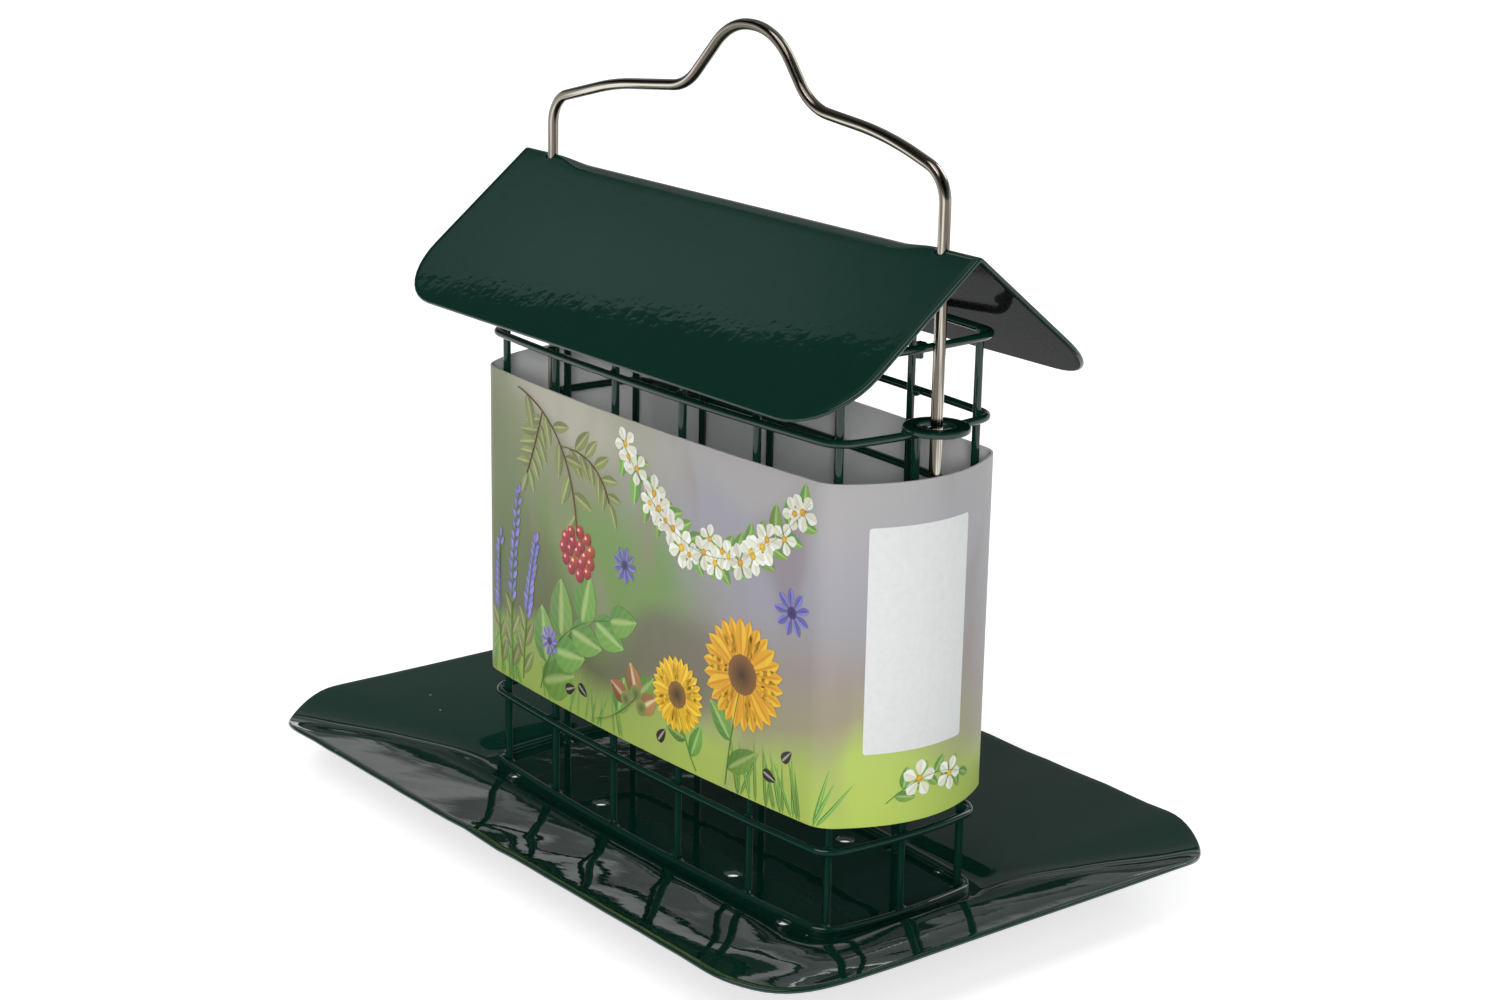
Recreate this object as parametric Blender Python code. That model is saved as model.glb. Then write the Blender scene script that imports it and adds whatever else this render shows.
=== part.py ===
"""Suet feeder: a welded wire cage on a folded tray, with a lifting roof, a telescoping hanger and a card sleeve.

The long sides run along X, the ends face X, and the tray's flat underside stands on Z = 0.
The roof lifts along the hanger's legs, and the hanger slides up through the roof's holes and the eye washers.
"""
import math

import bmesh
import bpy
from mathutils import Vector

# Cage
wire = 0.0018                 # coated cage wire
weld_gap = 0.0003             # clearance where pieces are welded on or rest
column_pitch = 0.025          # between uprights along a long side
column_gaps = 5
row_pitch = 0.0181            # between rings
row_gaps = 7
cage_width = 0.0444           # across a ring at its corners, wire centre to wire centre
ring_corner = 0.0055          # bend radius of a ring's corners, at the wire's centre
side_bow = 0.0025             # how far a ring's long rails bow outwards
end_bow = 0.0012              # how far a ring's end rails bow outwards
stub_length = 0.0034          # what is left of the end wire where it was cut away under the top ring

# Tray
sheet = 0.001                 # painted steel sheet of the tray and the roof
tray_length = 0.2046
tray_width = 0.135
tray_corner = 0.019           # plan radius of the tray's corners
tray_rise = 0.0131            # how far the wings' edges stand over the flat
tray_corner_sag = 0.0022      # how much lower a corner's edge is than a side's
flat_margin_x = 0.0014        # flat floor outside the cage's end rails, up to the fold
flat_margin_y = 0.0004        # flat floor outside the cage's long rails, up to the fold
flat_corner = 0.006           # plan radius of the fold at the flat's corners
fold_softness_share = 0.13    # share of a wing's width over which the fold turns
drain_radius = 0.0019
inner_drain_inset_x = 0.0416  # from the fold at the flat's end to the inner drains
inner_drain_inset_y = 0.0082
outer_drain_inset_x = 0.0149
outer_drain_inset_y = 0.0016

# Roof
roof_overhang = 0.0112        # from the legs' centres to the roof's ends
slope_length = 0.05           # from the ridge down to the eave, along the sheet
roof_pitch = math.radians(38.2)
roof_corner = 0.016           # radius of the sheet's corners
ridge_radius = 0.0028         # outer bend radius along the ridge
eye_ridge_radius = 0.0068     # blunter bend of the ridge round and outside each hanger hole
eye_blend = 0.004             # length of ridge over which one bend turns into the other
hole_clearance = 0.0006       # round a leg in its roof hole

# Hanger and eye washers
hanger_wire = 0.0026
leg_clearance = 0.0018        # between a leg and the end rails beside it
hanger_rise = 0.0386          # from the ridge's top to the wire's centre at the hump
shoulder_bend = 0.0055
brow_bend = 0.030
hump_foot_bend = 0.007
hump_bend = 0.0125
foot_bend = 0.0024
foot_length = 0.0068          # the bent foot that stops under a washer, from the leg's centre
foot_turn = math.radians(8)   # the feet point a little inwards, clear of the sleeve
foot_cover = 0.0015           # how far the feet lie above the sleeve's lower edge
washer_radius = 0.0072
washer_hole = 0.0038
washer_thickness = 0.0014

# Card sleeve
card = 0.0005
sleeve_height = 0.076
sleeve_drop = 0.0093          # from the washers' underside down to the sleeve's upper edge
sleeve_slack = 0.0004         # between the sleeve and the rings at their corners

# Outline of the hanger's bow as shares of half its span and of its rise over the ridge
shoulder_share = (1.0, 0.384)
brow_share = (0.745, 0.522)
hump_foot_share = (0.292, 0.622)
hump_crown_share = (0.128, 1.0)

# Shading and facet counts
sharp_edge = math.radians(40)
side_steps = 10
corner_steps = 4
upright_sides = 10
hole_sides = 20
least_bend_steps = 4
widest_bend_step = math.radians(13)
washer_sides = 32
fold_shares = (0.0, 0.05, 0.1, 0.16, 0.24, 0.36, 0.52, 0.7, 0.86, 1.0)

# Worked out from the sizes above
tray_top = sheet
ring_half_x = column_gaps * column_pitch / 2 + wire + weld_gap
ring_half_y = cage_width / 2
lowest_ring_z = tray_top + weld_gap + wire / 2
top_ring_z = lowest_ring_z + row_gaps * row_pitch
washer_ring_z = top_ring_z - row_pitch
leg_x = ring_half_x + end_bow + wire / 2 + leg_clearance + hanger_wire / 2
roof_half = leg_x + roof_overhang
washer_bottom_z = washer_ring_z + wire / 2 + weld_gap
sleeve_bottom = washer_bottom_z - sleeve_drop - sleeve_height
foot_z = sleeve_bottom + foot_cover + hanger_wire / 2
hanger_travel = washer_bottom_z - foot_z - hanger_wire / 2 - weld_gap
cut_overrun = 0.01


def wipe_scene():
    for old in list(bpy.data.objects):
        bpy.data.objects.remove(old, do_unlink=True)


def material(name, colour, roughness, metallic=0.0):
    made = bpy.data.materials.new(name)
    made.use_nodes = True
    shader = made.node_tree.nodes["Principled BSDF"]
    shader.inputs["Base Color"].default_value = (*colour, 1.0)
    shader.inputs["Roughness"].default_value = roughness
    shader.inputs["Metallic"].default_value = metallic
    return made


def add_object(name, data, finish, place=(0, 0, 0)):
    made = bpy.data.objects.new(name, data)
    made.data.materials.clear()
    made.data.materials.append(finish)
    made.location = place
    bpy.context.scene.collection.objects.link(made)
    return made


def mesh_from(bm, name, closed=True):
    """The finished mesh, shaded smooth: a closed body's faces are turned outwards, an open sheet keeps its own."""
    if closed:
        bmesh.ops.recalc_face_normals(bm, faces=bm.faces)
    mesh = bpy.data.meshes.new(name)
    bm.to_mesh(mesh)
    bm.free()
    mesh.shade_smooth()
    mesh.set_sharp_from_angle(angle=sharp_edge)
    return mesh


def arc(centre, radius, start, end, steps):
    """Points on an arc in plan, both ends included."""
    turns = [start + (end - start) * i / steps for i in range(steps + 1)]
    return [(centre[0] + radius * math.cos(a), centre[1] + radius * math.sin(a)) for a in turns]


def bowed_rectangle(half_x, half_y, corner, bow_x, bow_y):
    """Closed plan outline, anticlockwise: four sides that bow outwards and run smoothly into round corners."""
    run_x = half_x - corner
    run_y = half_y - corner
    front_lean = math.atan(2 * bow_y / run_x)
    end_lean = math.atan(2 * bow_x / run_y)
    near = arc((run_x, -run_y), corner, front_lean - math.pi / 2, -end_lean, corner_steps)
    far = [(x, -y) for x, y in reversed(near)]
    front_x, front_y = near[0]
    end_x, end_y = far[0]
    front_depth = half_y + bow_y + front_y
    end_depth = half_x + bow_x - end_x
    shares = [2 * i / side_steps - 1 for i in range(1, side_steps)]
    front = [(s * front_x, front_y - front_depth * (1 - s * s)) for s in shares]
    end = [(end_x + end_depth * (1 - s * s), s * end_y) for s in shares]
    half = front + near + end + far
    return half + [(-x, -y) for x, y in half]


def tube(name, points, radius, finish, closed=False, resolution=2, origin=(0, 0, 0)):
    """A wire along the given points, as a bevelled curve."""
    curve = bpy.data.curves.new(name, "CURVE")
    curve.dimensions = "3D"
    curve.bevel_depth = radius
    curve.bevel_resolution = resolution
    curve.use_fill_caps = not closed
    spline = curve.splines.new("POLY")
    spline.points.add(len(points) - 1)
    for node, point in zip(spline.points, points):
        node.co = (*(Vector(point) - Vector(origin)), 1.0)
    spline.use_cyclic_u = closed
    return add_object(name, curve, finish, origin)


def turned_plate(inner, outer, thickness, name):
    """A flat washer about Z, standing on Z = 0, with its outer edges eased."""
    ease = thickness / 4
    profile = [(inner, 0), (outer - ease, 0), (outer, ease), (outer, thickness - ease),
               (outer - ease, thickness), (inner, thickness)]
    bm = bmesh.new()
    verts = [bm.verts.new((r, 0, z)) for r, z in profile]
    edges = [bm.edges.new((verts[i - 1], verts[i])) for i in range(len(verts))]
    bmesh.ops.spin(bm, geom=verts + edges, cent=(0, 0, 0), axis=(0, 0, 1),
                   angle=math.tau, steps=washer_sides, use_merge=True)
    return mesh_from(bm, name)


def rod_mesh(name, length):
    """An upright's straight wire, standing on Z = 0."""
    bm = bmesh.new()
    bmesh.ops.create_cone(bm, cap_ends=True, segments=upright_sides, radius1=wire / 2, radius2=wire / 2, depth=length)
    bmesh.ops.translate(bm, verts=bm.verts, vec=(0, 0, length / 2))
    return mesh_from(bm, name)


def hole_cutter(name, radius, places, middle_z, depth):
    """Upright cylinders that cut holes, left out of the model itself."""
    bm = bmesh.new()
    for x, y in places:
        made = bmesh.ops.create_cone(bm, cap_ends=True, segments=hole_sides, radius1=radius, radius2=radius, depth=depth)
        bmesh.ops.translate(bm, verts=made["verts"], vec=(x, y, middle_z))
    cutter = bpy.data.objects.new(name, mesh_from(bm, name))
    cutter.hide_render = True
    cutter.display_type = "WIRE"
    bpy.context.scene.collection.objects.link(cutter)
    return cutter


def cut_by(target, cutter):
    cut = target.modifiers.new("holes", "BOOLEAN")
    cut.operation = "DIFFERENCE"
    cut.solver = "EXACT"
    cut.object = cutter


def make_tray(finish):
    """Folded sheet: a flat floor under the cage and four wings that rise to the edges, with soft hips."""
    flat_x = ring_half_x + end_bow + wire / 2 + flat_margin_x
    flat_y = ring_half_y + side_bow + wire / 2 + flat_margin_y
    floor = bowed_rectangle(flat_x, flat_y, flat_corner, 0, 0)
    edge = bowed_rectangle(tray_length / 2, tray_width / 2, tray_corner, 0, 0)
    soft = fold_softness_share
    hip_x = tray_length / 2 - tray_corner
    hip_y = tray_width / 2 - tray_corner
    bm = bmesh.new()
    loops = []
    for share in fold_shares:
        height = (math.hypot(share, soft) - soft) / (math.hypot(1, soft) - soft)
        loop = []
        for (x0, y0), (x1, y1) in zip(floor, edge):
            round_x = max(0.0, abs(x1) - hip_x) / tray_corner
            round_y = max(0.0, abs(y1) - hip_y) / tray_corner
            sag = tray_corner_sag * (2 * round_x * round_y) ** 2
            x = x0 + (x1 - x0) * share
            y = y0 + (y1 - y0) * share
            loop.append(bm.verts.new((x, y, tray_top + height * (tray_rise - sag))))
        loops.append(loop)
    bm.faces.new(loops[0])
    for lower, upper in zip(loops, loops[1:]):
        for i in range(len(lower)):
            bm.faces.new((lower[i - 1], upper[i - 1], upper[i], lower[i]))
    tray = add_object("tray", mesh_from(bm, "tray", closed=False), finish)
    thick = tray.modifiers.new("sheet", "SOLIDIFY")
    thick.thickness = sheet
    thick.offset = -1
    thick.use_even_offset = True
    insets = ((inner_drain_inset_x, inner_drain_inset_y), (outer_drain_inset_x, outer_drain_inset_y))
    signs = [(sx, sy) for sx in (-1, 1) for sy in (-1, 1)]
    drains = [(sx * (flat_x - ix), sy * (flat_y - iy)) for ix, iy in insets for sx, sy in signs]
    cut_by(tray, hole_cutter("drain_cutter", drain_radius, drains, tray_top, cut_overrun))
    return tray


def make_cage(finish):
    """Closed rings outside upright wires, all welded together."""
    outline = bowed_rectangle(ring_half_x, ring_half_y, ring_corner, end_bow, side_bow)
    for row in range(row_gaps + 1):
        z = lowest_ring_z + row * row_pitch
        tube("ring_%d" % (row + 1), [(x, y, 0) for x, y in outline], wire / 2, finish, closed=True).location.z = z

    # Uprights stand on the tray inside the rings, and the outermost ones sit in the rings' corners
    foot = tray_top + weld_gap
    upright = rod_mesh("upright", top_ring_z + wire / 2 - foot)
    inset = wire + weld_gap
    corner_reach = (ring_corner - inset) * math.sqrt(0.5)
    corner_x = ring_half_x - ring_corner + corner_reach
    corner_y = ring_half_y - ring_corner + corner_reach
    for column in range(column_gaps + 1):
        x = (column - column_gaps / 2) * column_pitch
        along = x / (ring_half_x - ring_corner)
        y = ring_half_y + side_bow * (1 - along * along) - inset
        if column in (0, column_gaps):
            x = math.copysign(corner_x, x)
            y = corner_y
        add_object("upright_front_%d" % (column + 1), upright, finish, (x, -y, foot))
        add_object("upright_back_%d" % (column + 1), upright, finish, (x, y, foot))

    # One more upright in the middle of each end, cut away above the ring that holds the washer
    end_x = ring_half_x + end_bow - inset
    end_upright = rod_mesh("end_upright", washer_ring_z + wire / 2 - foot)
    stub = rod_mesh("cut_stub", stub_length)
    for side, sign in (("left", -1), ("right", 1)):
        add_object("upright_%s_end" % side, end_upright, finish, (sign * end_x, 0, foot))
        stub_place = (sign * end_x, 0, top_ring_z + wire / 2 - stub_length)
        add_object("cut_stub_%s" % side, stub, finish, stub_place)


def make_washers(finish):
    """Eyes for the hanger's legs, welded by their rims on top of the second ring from the top."""
    plate = turned_plate(washer_hole, washer_radius, washer_thickness, "eye_washer")
    for side, sign in (("left", -1), ("right", 1)):
        add_object("eye_washer_%s" % side, plate, finish, (sign * leg_x, 0, washer_bottom_z))


def roof_apex_z():
    """Height where the roof's two outer slopes would meet, with its underside resting on the top ring."""
    reach = wire / 2 + weld_gap
    rail_y = ring_half_y + side_bow
    underside = top_ring_z + rail_y * math.tan(roof_pitch) + reach / math.cos(roof_pitch)
    return underside + sheet / math.cos(roof_pitch)


def ridge_top_z(radius):
    return roof_apex_z() - radius * (1 / math.cos(roof_pitch) - 1)


def make_roof(finish):
    """One bent sheet with round corners, blunter along the ridge where the hanger's legs pass through."""
    apex = roof_apex_z()
    arc_turns = [roof_pitch * i / corner_steps for i in range(corner_steps + 1)]
    corner_turns = [math.pi / 2 * i / (2 * corner_steps) for i in range(2 * corner_steps + 1)]
    slopes = [(slope_length - roof_corner + roof_corner * math.sin(a),
               roof_half - roof_corner + roof_corner * math.cos(a)) for a in corner_turns]
    blend_start = (leg_x - 2 * eye_blend) / roof_half
    blend_end = (leg_x - eye_blend) / roof_half
    blend_middle = (blend_start + blend_end) / 2
    right = [0.0, blend_start / 2, blend_start, blend_middle, blend_end, leg_x / roof_half, 1.0]
    stations = [-s for s in reversed(right[1:])] + right

    def section(share):
        """Rows of one slope, from the ridge to the eave: (x, y, z) at this share of the half length."""
        ease = min(1.0, max(0.0, (abs(share) - blend_start) / (blend_end - blend_start)))
        radius = ridge_radius + (eye_ridge_radius - ridge_radius) * ease * ease * (3 - 2 * ease)
        centre = apex - radius / math.cos(roof_pitch)
        rows = [(share * roof_half, radius * math.sin(a), centre + radius * math.cos(a)) for a in arc_turns]
        for down, reach in slopes:
            y = down * math.cos(roof_pitch)
            rows.append((share * reach, y, apex - y * math.tan(roof_pitch)))
        return rows

    bm = bmesh.new()
    grid = []
    for share in stations:
        rows = section(share)
        full = [(x, -y, z) for x, y, z in reversed(rows[1:])] + rows
        grid.append([bm.verts.new((x, y, z - apex)) for x, y, z in full])
    for near, far in zip(grid, grid[1:]):
        for j in range(len(near) - 1):
            bm.faces.new((near[j], far[j], far[j + 1], near[j + 1]))
    roof = add_object("roof", mesh_from(bm, "roof", closed=False), finish, (0, 0, apex))
    thick = roof.modifiers.new("sheet", "SOLIDIFY")
    thick.thickness = sheet
    thick.offset = -1
    thick.use_even_offset = True
    hole = hanger_wire / 2 + hole_clearance
    cut_by(roof, hole_cutter("leg_hole_cutter", hole, [(-leg_x, 0), (leg_x, 0)], apex, cut_overrun))
    return roof


def rounded_path(points, bends):
    """Polyline whose inner points are turned with the given bend radii."""
    path = [Vector(points[0])]
    for before, here, after, bend in zip(points, points[1:], points[2:], bends):
        here = Vector(here)
        back = (Vector(before) - here).normalized()
        on = (Vector(after) - here).normalized()
        opening = back.angle(on)
        reach = bend / math.tan(opening / 2)
        centre = here + (back + on).normalized() * (bend / math.sin(opening / 2))
        start = here + back * reach - centre
        end = here + on * reach - centre
        turn = start.angle(end)
        steps = max(least_bend_steps, math.ceil(turn / widest_bend_step))
        for i in range(steps + 1):
            share = i / steps
            spoke = (start * math.sin((1 - share) * turn) + end * math.sin(share * turn)) / math.sin(turn)
            path.append(centre + spoke)
    path.append(Vector(points[-1]))
    return path


def make_hanger(finish, roof):
    """Steel wire bow: two upright legs, sloping shoulders and a hump to hang it by, with a bent foot on each leg."""
    ridge = ridge_top_z(ridge_radius)
    foot_x = leg_x - foot_length * math.sin(foot_turn)
    foot_y = foot_length * math.cos(foot_turn)
    corners = [(foot_x, foot_y, foot_z), (leg_x, 0, foot_z)]
    for across, up in (shoulder_share, brow_share, hump_foot_share, hump_crown_share):
        corners.append((across * leg_x, 0, ridge + up * hanger_rise))
    left = [(-x, y, z) for x, y, z in reversed(corners)]
    bends = [foot_bend, shoulder_bend, brow_bend, hump_foot_bend, hump_bend]
    path = rounded_path(corners + left, bends + bends[::-1])
    origin = roof.location.copy()
    hanger = tube("hanger", path, hanger_wire / 2, finish, resolution=3, origin=origin)
    hanger.parent = roof
    hanger.location = hanger.location - origin
    return hanger


def make_sleeve(finish):
    """Printed card wrapped round the cage and the hanger's legs, open at the top and the bottom."""
    clear = wire / 2 + sleeve_slack
    inner_x = ring_half_x + clear
    inner_y = ring_half_y + clear
    corner = ring_corner + clear
    bow_x = leg_x + hanger_wire / 2 + weld_gap - inner_x
    inner = bowed_rectangle(inner_x, inner_y, corner, bow_x, side_bow)
    outer = bowed_rectangle(inner_x + card, inner_y + card, corner + card, bow_x, side_bow)
    bm = bmesh.new()
    rims = []
    for outline, z in ((outer, 0), (outer, sleeve_height), (inner, sleeve_height), (inner, 0)):
        rims.append([bm.verts.new((x, y, z)) for x, y in outline])
    for k in range(len(rims)):
        here, beyond = rims[k - 1], rims[k]
        for i in range(len(here)):
            bm.faces.new((here[i - 1], here[i], beyond[i], beyond[i - 1]))
    return add_object("card_sleeve", mesh_from(bm, "card_sleeve"), finish, (0, 0, sleeve_bottom))


def build():
    wipe_scene()
    green_coat = material("green_coat", (0.006, 0.055, 0.04), 0.22)
    bright_steel = material("bright_steel", (0.62, 0.6, 0.56), 0.24, 1.0)
    printed_card = material("printed_card", (0.42, 0.5, 0.28), 0.45)
    make_tray(green_coat)
    make_cage(green_coat)
    make_washers(green_coat)
    roof = make_roof(green_coat)
    make_hanger(bright_steel, roof)
    make_sleeve(printed_card)
    print("hanger travel between its rest and the washers: %.2f mm" % (hanger_travel * 1000))


build()
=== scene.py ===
"""Suet feeder: the looks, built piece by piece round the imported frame.

The sections follow the feeder as it is put together: camera, tray, cage, washers, roof, hanger, card sleeve,
its print, and last the studio.
"""
import math

import bmesh
import bpy
import numpy as np
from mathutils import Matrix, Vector, noise


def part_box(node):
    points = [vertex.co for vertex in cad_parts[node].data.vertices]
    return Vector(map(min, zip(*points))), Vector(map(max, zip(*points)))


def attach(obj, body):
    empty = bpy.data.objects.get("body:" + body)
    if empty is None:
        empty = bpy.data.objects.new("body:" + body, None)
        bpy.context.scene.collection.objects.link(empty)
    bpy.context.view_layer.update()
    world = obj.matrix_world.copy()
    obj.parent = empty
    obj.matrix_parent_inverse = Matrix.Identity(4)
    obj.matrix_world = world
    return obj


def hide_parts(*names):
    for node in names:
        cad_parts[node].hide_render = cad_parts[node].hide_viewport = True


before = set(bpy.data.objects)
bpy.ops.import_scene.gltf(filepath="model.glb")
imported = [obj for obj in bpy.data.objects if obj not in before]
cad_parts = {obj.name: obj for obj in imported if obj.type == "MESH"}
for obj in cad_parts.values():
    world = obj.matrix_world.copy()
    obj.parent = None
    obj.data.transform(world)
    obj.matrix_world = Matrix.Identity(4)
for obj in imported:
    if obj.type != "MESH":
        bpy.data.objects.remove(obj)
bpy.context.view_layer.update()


# Camera
# The photographer stands about 0.7 m away, well to the right of the front and a little above, with a longish
# lens. The place comes from fitting the crossings of the cage's wires.
camera_place = (0.48382, -0.38063, 0.26067)
camera_turn = (73.677, -1.073, 51.627)
camera_lens = 67.25
nearest_seen = 0.01


def new_object(name, data):
    """An object in the scene, unturned at the origin."""
    made = bpy.data.objects.new(name, data)
    bpy.context.scene.collection.objects.link(made)
    return made


camera = new_object("camera", bpy.data.cameras.new("camera"))
camera.data.lens = camera_lens
camera.data.clip_start = nearest_seen
camera.location = camera_place
camera.rotation_euler = [math.radians(turn) for turn in camera_turn]
bpy.context.scene.camera = camera


# Tray
# One piece of 1 mm steel sheet: a flat floor under the cage and four wings folded up softly, with round
# corners. It is punched for rain water, welded under the cage and powder coated dark green with it.
sheet = 0.001
rim_steps = 6
sharp_edge = math.radians(50)
tray_rise = 0.0131
tray_corner = 0.0225
tray_edge_inset = 0.0007
corner_sags = (0.0010, 0.0022)
flat_margins = (0.0006, -0.0008)
flat_corner = 0.008
tray_steps = (24, 16)
flat_loops = 10
first_loop_share = 0.08
wing_loops = 34
loop_crowding = 1.25
# Shares of a wing's width and rise. Of two, the first is for the front and the second for the ends
fold_softness_share = 0.07
fold_reach_share = 0.08
fold_shares = (0.14, 0.20)
bulge_shares = (0.14, 0.30)
dent_height = 0.00042
dent_size = (0.013, 0.034)
dent_start = 0.008
dent_growth = 3
least_dent_share = 0.25
drain_radius = 0.0019
drain_lip = 0.00028
drain_insets = ((0.0416, 0.0082), (0.0149, 0.0016))
lip_steps = (40, 12)
hole_sides = 32

coat_deep = (0.0029, 0.0252, 0.0168)
coat_pale = (0.0041, 0.0290, 0.0200)
speck_grey = (0.30, 0.32, 0.30)
speck_reach_share = 0.042
speck_skip_share = 0.62
speck_cover_share = 0.6
speck_rise_share = 0.5
speck_dullness = 0.4
peel_share = 0.2
haze = 0.02
sway_scale = 130.0
tray_skin = {"peel_size": 0.0014, "ripple_size": 0.0034, "roughness": 0.028, "relief": 0.000014,
             "sway": 3.0}
# Underneath, the coat is painted near black and dark grey with little gloss instead of its green: painted
# shade
underside_shade_skin = {"deep": (0.0, 0.0, 0.0), "pale": (0.026, 0.032, 0.030), "peel_size": 0.0006,
              "ripple_size": 0.0008, "roughness": 0.08, "relief": 0.000014, "speck_spacing": 0.004,
              "gloss": 0.007}


def feed(tree, node, feeds):
    """Sets a node's inputs by name or number, each to a value or to another node's output."""
    for socket, value in dict(feeds).items():
        if isinstance(value, bpy.types.NodeSocket):
            tree.links.new(value, node.inputs[socket])
        else:
            node.inputs[socket].default_value = value
    return node


def put(tree, kind, feeds=(), **facts):
    """Adds a node with its facts and its inputs."""
    node = tree.nodes.new(kind)
    for name, value in facts.items():
        setattr(node, name, value)
    return feed(tree, node, feeds)


def sums(tree, operation, *terms, clamp=False):
    """The result of one Math node."""
    return put(tree, "ShaderNodeMath", enumerate(terms), operation=operation, use_clamp=clamp).outputs[0]


def cloudy(tree, place, scale, detail):
    """A cloudy noise at a place."""
    return put(tree, "ShaderNodeTexNoise", {"Vector": place, "Scale": scale, "Detail": detail}).outputs["Fac"]


def blend(tree, factor, first, second):
    """A colour between two."""
    return put(tree, "ShaderNodeMix", {0: factor, 6: first, 7: second}, data_type="RGBA").outputs[2]


def new_group(name, kind, given, made):
    """An empty node group with named sockets, its inputs as outputs of a node, and the node that ends it."""
    group = bpy.data.node_groups.new(name, kind)
    for in_out, sockets in (("INPUT", given), ("OUTPUT", made)):
        for label, socket_type in sockets.items():
            group.interface.new_socket(label, in_out=in_out, socket_type="NodeSocket" + socket_type)
    return group, group.nodes.new("NodeGroupInput").outputs, group.nodes.new("NodeGroupOutput")


def new_material(name):
    """A material and its tree."""
    made = bpy.data.materials.new(name)
    made.use_nodes = True
    return made, made.node_tree


def paint(tree, feeds, height=None, relief=0.0):
    """Feeds a material's shader. The height, in steps of the relief in metres, raises its surface."""
    shader = feed(tree, tree.nodes["Principled BSDF"], feeds)
    if height:
        bump = put(tree, "ShaderNodeBump", {"Height": height, "Distance": relief})
        tree.links.new(bump.outputs["Normal"], shader.inputs["Normal"])


def make_powder_coat():
    """Glossy powder coat: fine orange peel, slow ripples, a slightly uneven colour and a few dust specks."""
    group, given, end = new_group(
        "powder_coat", "ShaderNodeTree",
        {"Deep Colour": "Color", "Pale Colour": "Color", "Speck Colour": "Color", "Peel Size": "Float",
         "Ripple Size": "Float", "Speck Spacing": "Float", "Gloss Roughness": "Float", "Sway": "Float"},
        {"Colour": "Color", "Roughness": "Float", "Height": "Float"})
    place = put(group, "ShaderNodeTexCoord").outputs["Object"]
    peel = cloudy(group, place, sums(group, "DIVIDE", 1.0, given["Peel Size"]), 1.5)
    ripple = cloudy(group, place, sums(group, "DIVIDE", 1.0, given["Ripple Size"]), 2.0)
    slow = cloudy(group, place, sway_scale, 0.5)
    speck_scale = sums(group, "DIVIDE", 1.0, given["Speck Spacing"])
    cells = put(group, "ShaderNodeTexVoronoi", {"Vector": place, "Scale": speck_scale}).outputs
    lot = put(group, "ShaderNodeSeparateColor", {0: cells["Color"]}).outputs[0]
    speck = sums(group, "MULTIPLY", sums(group, "LESS_THAN", cells["Distance"], speck_reach_share),
                 sums(group, "GREATER_THAN", lot, speck_skip_share))
    tone = blend(group, ripple, given["Deep Colour"], given["Pale Colour"])
    rough = sums(group, "ADD", given["Gloss Roughness"], sums(group, "MULTIPLY_ADD", ripple, haze, -haze / 2))
    uneven = sums(group, "MULTIPLY_ADD", peel, peel_share, ripple)
    height = sums(group, "MULTIPLY_ADD", speck, speck_rise_share, uneven)
    cover = sums(group, "MULTIPLY", speck, speck_cover_share)
    feed(group, end, {
        "Colour": blend(group, cover, tone, given["Speck Colour"]),
        "Roughness": sums(group, "MULTIPLY_ADD", speck, speck_dullness, rough),
        "Height": sums(group, "MULTIPLY_ADD", slow, given["Sway"], height)})
    return group


powder_coat = make_powder_coat()


def make_coat(name, peel_size, ripple_size, roughness, relief, sway=0.0, speck_spacing=0.009, gloss=0.5,
              deep=coat_deep, pale=coat_pale):
    """A material in powder coat."""
    made, tree = new_material(name)
    coat = put(tree, "ShaderNodeGroup", {
        "Deep Colour": (*deep, 1.0), "Pale Colour": (*pale, 1.0), "Speck Colour": (*speck_grey, 1.0),
        "Peel Size": peel_size, "Ripple Size": ripple_size, "Speck Spacing": speck_spacing,
        "Gloss Roughness": roughness, "Sway": sway}, node_tree=powder_coat).outputs
    paint(tree, {"Base Color": coat["Colour"], "Roughness": coat["Roughness"], "Specular IOR Level": gloss},
          coat["Height"], relief)
    return made


def bowed_outline(half_x, half_y, corner, bow_x, bow_y, side_steps, corner_steps):
    """Closed plan outline, anticlockwise: four sides bow outwards and run smoothly into round corners."""
    run_x = half_x - corner
    run_y = half_y - corner
    front_lean = math.atan(2 * bow_y / run_x)
    end_lean = math.atan(2 * bow_x / run_y)
    turns = np.linspace(front_lean - math.pi / 2, -end_lean, corner_steps + 1)
    near = np.stack([run_x + corner * np.cos(turns), corner * np.sin(turns) - run_y], 1)
    far = near[::-1] * (1, -1)
    shares = np.linspace(-1, 1, side_steps + 1)[1:-1]
    front_depth = half_y + bow_y + near[0, 1]
    end_depth = half_x + bow_x - far[0, 0]
    front = np.stack([shares * near[0, 0], near[0, 1] - front_depth * (1 - shares ** 2)], 1)
    end = np.stack([far[0, 0] + end_depth * (1 - shares ** 2), shares * far[0, 1]], 1)
    half = np.concatenate([front, near, end, far])
    return np.concatenate([half, -half])


def grid_faces(rows, columns, round_rows=False, round_columns=False):
    """Quads over a grid of points, row by row. Its rows or columns may run on from the last to the first."""
    down = [(r, (r + 1) % rows) for r in range(rows if round_rows else rows - 1)]
    across = [(c, (c + 1) % columns) for c in range(columns if round_columns else columns - 1)]
    return [[r * columns + c, s * columns + c, s * columns + d, r * columns + d]
            for r, s in down for c, d in across]


def rim_of(rows, columns, wraps):
    """The points along the rim of such a grid."""
    last = [(rows - 1) * columns + c for c in range(columns)]
    if wraps:
        return last
    right = [r * columns + columns - 1 for r in range(1, rows)]
    left = [r * columns for r in range(rows - 2, 0, -1)]
    return [*range(columns), *right, *last[-2::-1], *left]


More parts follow.
